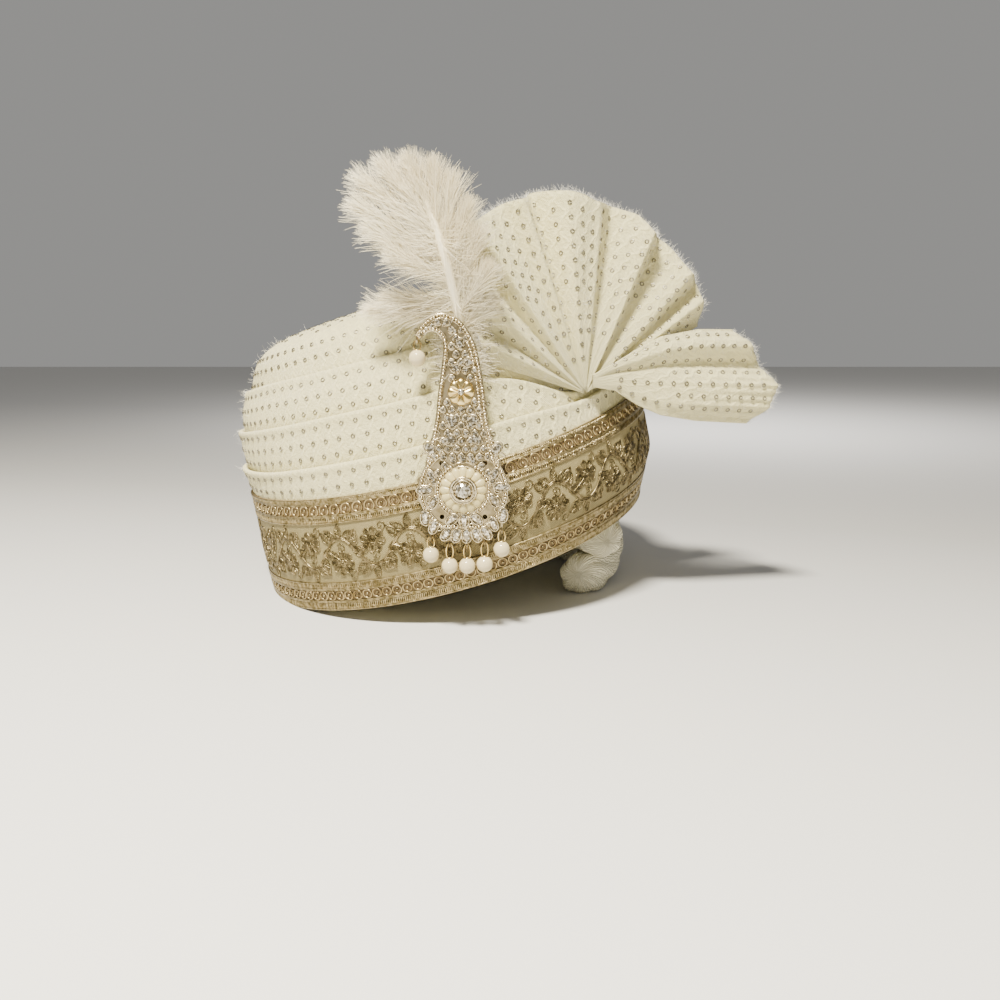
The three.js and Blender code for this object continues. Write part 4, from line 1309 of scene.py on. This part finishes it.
def wire_lines():
    """The raised wires of the brooch: edge wires, settings, arcs, lattice, scrolls and small rings."""
    wires = Threads()

    def add(kind, line, lift=0.2):
        line = np.asarray(line, dtype=float)
        wires.add(brooch_place(line[:, 0], PLATE_FRONT - lift, line[:, 1]), WIRE[kind])

    outline = stem_outline()
    add("edge", moved_in(outline, 0.15), 0.0)
    add("inner edge", moved_in(outline, 1.9))
    for x, z, long, wide, turn in PLATE_STONES:
        ring = marquise_outline(x, z, long + 1.0, wide + 1.0, turn, 14)
        add("setting", np.concatenate([ring, ring[:1]]), 0.5)
    for start, stop in BASE_ARCS:
        for radius in (21.2, 19.3):
            add("arc", circle_line((0, 0), radius, start - 2, stop + 2, 46))
    for radius in (13.4, 11.4):
        add("arc", circle_line((0, 0), radius, 0, 360, 46))
    for x in np.arange(-8.0, 8.1, 3.2):
        for slant in (-3.0, 3.0):
            add("lattice", [(x + slant, 30.0), (x - slant, 40.0)])
    coil = np.linspace(0.0, 5.2, 20)
    reach = 3.3 * (1.0 - coil / 6.4)
    for side in (-1.0, 1.0):
        for x, z, turn in ((12.5, 21.5, 30.0), (13.0, 26.0, 55.0), (17.0, 15.5, 5.0)):
            angle = coil + math.radians(turn)
            scroll = np.stack([side * (x + reach * np.cos(angle)), z + reach * np.sin(angle)], axis=-1)
            add("scroll", scroll, 0.4)
        for k in range(5):
            add("ring", circle_line((side * 16.4, -9.0 + 4.4 * k), 1.5, 0, 360, 12))
    for x in np.arange(-12.0, 12.1, 4.0):
        add("low ring", circle_line((x, -18.0), 1.8, 0, 360, 12))
    return wires


def rosette_mesh(centre, radius, petals, lift, tall):
    """A round flower of raised petals, closed behind."""
    around = np.linspace(0.0, 2.0 * math.pi, 16 * petals, endpoint=False)[None, :]
    shares = np.array([0.02, 0.2, 0.4, 0.55, 0.7, 0.82, 0.92, 0.98, 1.0])[:, None]
    petal = np.abs(np.cos(0.5 * petals * around))
    reach = radius * shares * (1.0 - 0.10 * (1.0 - petal ** 0.6) * shares)
    crown = tall * (0.45 + 0.55 * petal ** 0.5) * np.sqrt(np.maximum(1.0 - shares ** 6, 0.0))

    def ring(out, forward):
        return brooch_place(centre[0] + out * np.cos(around), forward, centre[1] + out * np.sin(around))

    back = lift + 0.5
    grid = np.concatenate([ring(reach, lift - crown), ring(reach[-1:], back), ring(0.1, back)])
    return tidy_mesh(grid_mesh("rosette", grid, round_columns=True), close=True)


def turned_mesh(name, centre, profile, steps):
    """A round form about a forward axis on the brooch, from radius and forward position."""
    around = np.linspace(0.0, 2.0 * math.pi, steps, endpoint=False)[None, :]
    profile = np.asarray(profile, dtype=float)
    radius = profile[:, :1]
    x = centre[0] + radius * np.cos(around)
    z = centre[1] + radius * np.sin(around)
    grid = brooch_place(x, profile[:, 1:], z)
    return tidy_mesh(grid_mesh(name, grid, round_columns=True))


def pearl_mesh(x, z):
    tilt = np.linspace(0.0, math.pi, 25)
    profile = np.stack([PEARL_RADIUS * np.sin(tilt), DROP_Y + PEARL_RADIUS * np.cos(tilt)], axis=-1)
    return turned_mesh("pearl", (x, z), profile, 40)


def drop_wires():
    wires = Threads()
    for _, x, eye, pearl in DROPS:
        top = pearl + PEARL_RADIUS - 0.4
        middle = (eye + top) / 2
        half = (eye - top) / 2 + 0.3
        angle = np.linspace(0.0, 2.0 * math.pi, 24)
        wires.add(brooch_place(x + 1.7 * np.sin(angle), DROP_Y, middle + half * np.cos(angle)), WIRE["loop"])
        cap = circle_line((0, 0), 1.3, 0, 360, 14)
        seat = pearl + PEARL_RADIUS - 0.35
        wires.add(brooch_place(x + cap[:, 0], DROP_Y + cap[:, 1], seat), WIRE["cap"])
    return wires


# Plume

PLUME = np.array([17.0, -97.0, 125.0])
QUILL = smooth_line([(0, 0, 0), (-3, 0, 30), (-9, -9, 58), (-18, -11, 84)], 12)
QUILL_SIDES = 40
# share along the quill where a lock starts, and its tip
PLUME_LOCKS = [
    (0.36, -46, 1, 33), (0.4, -38, -2, 38), (0.5, -33, -14, 58), (0.58, -43, -13, 68),
    (0.66, -49, -11, 79), (0.74, -47, -10, 90), (0.8, -36, -11, 96), (0.85, -24, -11, 98),
    (0.78, -13, -12, 96), (0.68, -4, -13, 90), (0.56, 3, -13, 79),
    (0.44, 8, -12, 68), (0.36, 13, -10, 52), (0.26, 14, 0, 38),
]


def barb_line(chance, start, direction, length, droop, steps=6):
    share = np.linspace(0.0, 1.0, steps)[:, None]
    curl = np.array([chance.uniform(-1, 1), chance.uniform(-1, 1), chance.uniform(-1.2, 0.6)]) * droop
    return start + direction * length * share + curl * length * share ** 2


def plume_barbs(seed, barbs_a_lock, spread, shortest, longest, radius, tip_share):
    """Fine curved barbs along each lock, fanning away from its middle line."""
    chance = random.Random(seed)
    threads = Threads()
    for share, x, y, z in PLUME_LOCKS:
        root = QUILL[int(share * (len(QUILL) - 1))]
        tip = np.array([x, y, z], dtype=float)
        axis = tip - root
        reach = np.linalg.norm(axis)
        axis = axis / reach
        side = np.cross(axis, [0.0, 1.0, 0.0])
        side = side / np.linalg.norm(side)
        deep = np.cross(axis, side)
        for _ in range(barbs_a_lock):
            along = chance.uniform(0.0, 1.0) ** 0.8 * tip_share
            angle = chance.gauss(0.0, spread)
            lean_out = max(-0.3, min(0.4, chance.gauss(0.05, 0.2)))
            direction = axis * math.cos(angle) + side * math.sin(angle) + deep * lean_out
            direction = direction / np.linalg.norm(direction)
            start = PLUME + root + axis * reach * along
            length = min(chance.uniform(shortest, longest), reach * (1.04 - along) + 1.5)
            line = barb_line(chance, start, direction, length, 0.16)
            threads.add(line, radius * (1.0 - 0.8 * np.linspace(0.0, 1.0, len(line))))
    return threads


def plume_down(seed, count):
    """Short fluff round the quill, down to the hook of the brooch."""
    chance = random.Random(seed)
    threads = Threads()
    for _ in range(count):
        spot = QUILL[int(chance.uniform(0.0, 0.82) * (len(QUILL) - 1))]
        angle = chance.uniform(0.0, 2.0 * math.pi)
        rise = chance.uniform(-0.15, 0.9)
        direction = np.array([math.cos(angle), max(-0.2, 0.75 * math.sin(angle)), rise])
        direction = direction / np.linalg.norm(direction)
        line = barb_line(chance, PLUME + spot, direction, chance.uniform(8.0, 18.0), 0.22)
        threads.add(line, 0.17 * (1.0 - 0.75 * np.linspace(0.0, 1.0, len(line))))
    return threads


def plume_core_mesh():
    """The quill that the barbs grow from."""
    shares = np.clip(np.linspace(0.0, 1.0, len(QUILL)), 0.02, 0.985)
    half = 1.1 + 1.2 * np.sin(math.pi * shares)
    turns = np.linspace(0.0, 2.0 * math.pi, QUILL_SIDES, endpoint=False)
    x = QUILL[:, :1] + half[:, None] * np.cos(turns)
    y = QUILL[:, 1:2] + half[:, None] * np.sin(turns)
    z = np.broadcast_to(QUILL[:, 2:], x.shape)
    grid = PLUME + np.stack([x, y, z], axis=-1)
    return tidy_mesh(grid_mesh("plume_core", grid, round_columns=True), close=True)


# Loose fibres of the cloth

CROWN_FIBRES = 2600
# radius along each fibre
FIBRE_RADII = np.array([0.055, 0.05, 0.04, 0.02])
# surface, range across, number, step across, facing and greatest length on the fan and the tail
SHEET_FIBRES = [
    (fan_point, 29.0, 161.0, 2200, FAN_STEP, 1.0, 2.0), (tail_point, 0.0, 1.0, 700, -SHARE_STEP, -1.0, 1.8),
]


def fuzz_threads(seed):
    chance = np.random.default_rng(seed)
    threads = Threads()
    along = np.linspace(0.0, 1.0, len(FIBRE_RADII))[:, None]

    def add(places, normals, lengths):
        normals = normals / np.linalg.norm(normals, axis=1, keepdims=True)
        bent = normals + chance.normal(0.0, 0.55, normals.shape)
        curl = chance.normal(0.0, 0.35, normals.shape)
        for place, way, turn, length in zip(places, bent, curl, lengths):
            threads.add(place + way * length * along + turn * length * along ** 2, FIBRE_RADII)

    count = CROWN_FIBRES
    theta = chance.uniform(-math.pi, math.pi, count)
    layer = chance.integers(0, 4, count)
    edge = np.select([layer == 1, layer == 2, layer == 3],
                     [ledge_at(1, theta), ledge_at(2, theta), ledge_at(3, theta)], 140.0)
    height = edge - chance.uniform(0.0, 1.0, count) ** 2 * np.where(layer == 0, 18.0, 16.0)
    place, normal, _ = crown_frames(theta, height, layer * LAYER + 0.4)
    add(place, normal, chance.uniform(0.8, 2.4, count))
    for surface, low, high, count, step, facing, longest in SHEET_FIBRES:
        across = chance.uniform(low, high, count)
        share = np.where(chance.uniform(size=count) < 0.5, 1.0, chance.uniform(0.3, 1.0, count))
        place, normal, _ = surface_frames(surface, across, share, -FAN_THICK / 2, step, SHARE_STEP, facing)
        outward = place - surface(across, share - 0.02, -FAN_THICK / 2)
        add(place, np.where((share > 0.99)[:, None], outward, normal), chance.uniform(0.7, longest, count))
    return threads


# Making the pieces

IVORY = (0.93, 0.855, 0.47)
IVORY_SHADE = (0.86, 0.775, 0.40)
CLOTH = cloth_material("ivory_cloth", IVORY, IVORY_SHADE, 1.0, 0.75)
# the second colour is the painted shade in the grooves of the yarn
YARN = yarn_material("ivory_yarn", (0.84, 0.80, 0.60), (0.58, 0.54, 0.38))
SEQUIN = metal_material("silver_sequin", (0.40, 0.37, 0.28), (0.20, 0.18, 0.13), 0.34)
LACE = lace_material()
CHAMPAGNE = metal_material("champagne_thread", (0.40, 0.32, 0.17), (0.10, 0.075, 0.03), 0.34, 380.0)
PALE_THREAD = metal_material("pale_thread", (0.52, 0.42, 0.23), (0.22, 0.17, 0.07), 0.34, 500.0)
BRONZE = metal_material("bronze_thread", (0.48, 0.38, 0.20), (0.26, 0.19, 0.08), 0.32, 180.0)
SILVER = metal_material("champagne_silver", (0.82, 0.72, 0.50), (0.38, 0.30, 0.16), 0.22, 900.0)
GILT = metal_material("pale_gilt", (0.88, 0.70, 0.32), (0.55, 0.40, 0.14), 0.26)
# painted shade: the plate's metal is darkened to stand for the shade between the brooch's stones and wires
SHADE_DARK_PLATE = metal_material("plate_painted_shade", (0.46, 0.38, 0.23), (0.24, 0.19, 0.10), 0.34)
CRYSTAL = crystal_material()
ENAMEL = plain_material("cream_enamel", (0.62, 0.52, 0.25), (0.52, 0.43, 0.19), 0.3)
PEARL = plain_material("cream_pearl", (0.68, 0.58, 0.35), (0.62, 0.51, 0.29), 0.12)
FEATHER = plain_material("feather", (0.99, 0.94, 0.74), (0.97, 0.86, 0.60), 0.7)
YARN_FIBRE = plain_material("loose_fibre", (0.90, 0.88, 0.80), (0.84, 0.81, 0.72), 0.8)
THREAD_TREE = thread_tree()
RING_TREE = ring_tree()
BEAD_TREE = bead_tree()
GEM_TREE = gem_tree()


def add_threads(name, threads, sides, material):
    made = made_by_nodes(name, threads.mesh(name), THREAD_TREE, {"Sides": sides, "Material": material})
    add_piece(name, made, None)


def add_rings(name, points, ring, wire, sides, wire_sides, material):
    settings = {"Ring Radius": ring * MM, "Wire Radius": wire * MM, "Sides": sides, "Wire Sides": wire_sides,
                "Material": material}
    add_piece(name, made_by_nodes(name, points, RING_TREE, settings), None)


def add_beads(name, points, radius, segments, rings, material):
    settings = {"Radius": radius * MM, "Segments": segments, "Rings": rings, "Material": material}
    add_piece(name, made_by_nodes(name, points, BEAD_TREE, settings), None)


def add_gems(name, points, radius, table, height, facets):
    settings = {"Radius": radius * MM, "Table": table * MM, "Height": height * MM, "Facets": facets,
                "Material": CRYSTAL}
    return add_piece(name, made_by_nodes(name, points, GEM_TREE, settings), None)


def make_crown():
    inner = add_piece("inner_winding", crown_mesh(), CLOTH, ["wrap_1"])
    for layer in (1, 2, 3):
        winding = add_piece(f"winding_{layer}", wrap_mesh(layer), CLOTH, [f"wrap_{layer + 1}"])


def make_fan():
    knots = FAN_FOLDS[::-1, 0]
    angles = np.unique(np.concatenate([np.linspace(a, b, 12) for a, b in zip(knots[:-1], knots[1:])]))
    shares = np.linspace(0.0, 1.0, 40)
    fan_cloth = sheet_mesh("fan_cloth", fan_point, angles, shares, FAN_THICK, (1.6, 94.0))
    fan = add_piece("fan_cloth", fan_cloth, CLOTH, ["fan"])
    across = np.linspace(0.0, 1.0, 121)
    shares = np.linspace(0.0, 1.0, 44)
    tail_cloth = sheet_mesh("tail_cloth", tail_point, across, shares, FAN_THICK, (50.0, 98.0))
    tail = add_piece("tail_cloth", tail_cloth, CLOTH, ["tail"])


def make_nape():
    for number, phase in ((1, 0.0), (2, math.pi)):
        strand = add_piece(f"nape_strand_{number}", nape_mesh(phase), YARN, ["nape_roll"])


def make_sequins():
    sets = [crown_sequins()]
    angles, shares = fan_sequins()
    tail_across, tail_shares = tail_sequins()
    out = FAN_THICK / 2 + SEQUIN_LIFT["sheet"]
    for depth, facing in ((-out, 1.0), (out, -1.0)):
        sets.append(surface_frames(fan_point, angles, shares, depth, FAN_STEP, SHARE_STEP, facing))
        sets.append(surface_frames(
            tail_point, tail_across, tail_shares, depth, -SHARE_STEP, SHARE_STEP, -facing))
    places, normals, tangents = (np.concatenate(values) for values in zip(*sets))
    points = points_mesh("sequins", places, normals, tangents, np.ones(len(places)))
    add_rings("sequins", points, ring=0.92, wire=0.32, sides=10, wire_sides=4, material=SEQUIN)


def make_lace():
    ribbon = add_piece("lace_ribbon", lace_mesh(), LACE, ["lace_band"])
    braids = Threads()
    for low, high in BRAIDS:
        add_braid(braids, low, high)
    add_threads("lace_braids", braids, 4, PALE_THREAD)
    cords = Threads()
    for above in EDGE_CORDS:
        add_edge_cord(cords, above)
    add_threads("lace_cords", cords, 5, PALE_THREAD)
    vine = Threads()
    add_vine(vine)
    add_threads("lace_vine", vine, 4, CHAMPAGNE)
    along, above, sizes = lace_ring_points()
    place, normal, side = lace_frames(along, above, 0.3)
    add_rings("lace_rings", points_mesh("lace_rings", place, normal, side, sizes), ring=RING_SIZE, wire=0.55,
              sides=18, wire_sides=5, material=BRONZE)
    place, normal, side = lace_frames(along, above, 0.25)
    add_beads("lace_dots", points_mesh("lace_dots", place, normal, side, sizes), radius=0.85, segments=8,
              rings=5, material=CHAMPAGNE)


def make_brooch():
    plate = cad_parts["brooch_plate"]
    # the plate takes the darkened metal that is painted shade between its stones and wires
    plate.data.materials.clear()
    plate.data.materials.append(SHADE_DARK_PLATE)
    grains = brooch_points("milgrain", milgrain_spots(), 0.25, 1.0)
    add_beads("milgrain", grains, radius=0.8, segments=10, rings=6, material=SILVER)
    spots, sizes = crystal_spots()
    gems = brooch_points("crystals", spots, 0.55, sizes)
    add_gems("crystals", gems, radius=1.45, table=0.8, height=1.1, facets=8).data.shade_flat()
    add_rings("crystal_settings", brooch_points("crystal_settings", spots, 0.35, sizes), ring=1.65, wire=0.38,
              sides=14, wire_sides=5, material=SILVER)
    add_piece("marquise_stones", marquise_mesh(), CRYSTAL)
    add_threads("brooch_wires", wire_lines(), 6, SILVER)
    rosette = rosette_mesh((0, 0), radius=11.2, petals=16, lift=-2.9, tall=1.7)
    add_piece("rosette", rosette, ENAMEL, ["brooch_flower"])
    flower = rosette_mesh(GOLD_FLOWER, radius=6.4, petals=8, lift=-2.8, tall=1.5)
    add_piece("gold_flower", flower, GILT, ["stem_flower"])
    heart = brooch_points("flower_heart", [GOLD_FLOWER], 1.9, 1.0)
    add_gems("flower_heart", heart, radius=2.0, table=1.1, height=1.5, facets=10)
    bezel = [(6.6, -3.6), (6.9, -4.6), (6.5, -5.3), (5.9, -5.4), (5.5, -4.9), (5.4, -5.6), (5.0, -6.1),
             (4.5, -5.9), (4.2, -5.0), (0.0, -4.6)]
    add_piece("bezel", turned_mesh("bezel", (0, 0), bezel, 48), SILVER)
    cut = [(0.0, -4.4), (4.0, -4.8), (4.1, -5.6), (3.3, -6.6), (2.2, -7.3), (0.0, -7.3)]
    stone = turned_mesh("centre_stone", (0, 0), cut, 16)
    stone.shade_flat()
    add_piece("centre_stone", stone, CRYSTAL, ["brooch_stone"])
    for node, x, _, z in DROPS:
        add_piece(f"pearl_{node}", pearl_mesh(x, z), PEARL, [node])
    add_threads("drop_loops", drop_wires(), 6, GILT)


def make_plume():
    add_piece("plume_core", plume_core_mesh(), FEATHER, ["plume"])
    barbs = plume_barbs(
        seed=7, barbs_a_lock=330, spread=0.34, shortest=10.0, longest=24.0, radius=0.21, tip_share=0.88)
    tips = plume_barbs(
        seed=8, barbs_a_lock=150, spread=0.17, shortest=14.0, longest=25.0, radius=0.15, tip_share=0.8)
    down = plume_down(seed=9, count=2600)
    for name, threads in (("plume_barbs", barbs), ("plume_tips", tips), ("plume_down", down)):
        add_threads(name, threads, 3, FEATHER)


def make_fuzz():
    add_threads("loose_fibres", fuzz_threads(5), 3, YARN_FIBRE)

add_camera()
add_studio()
make_crown()
make_fan()
make_nape()
make_sequins()
make_lace()
make_brooch()
make_plume()
make_fuzz()
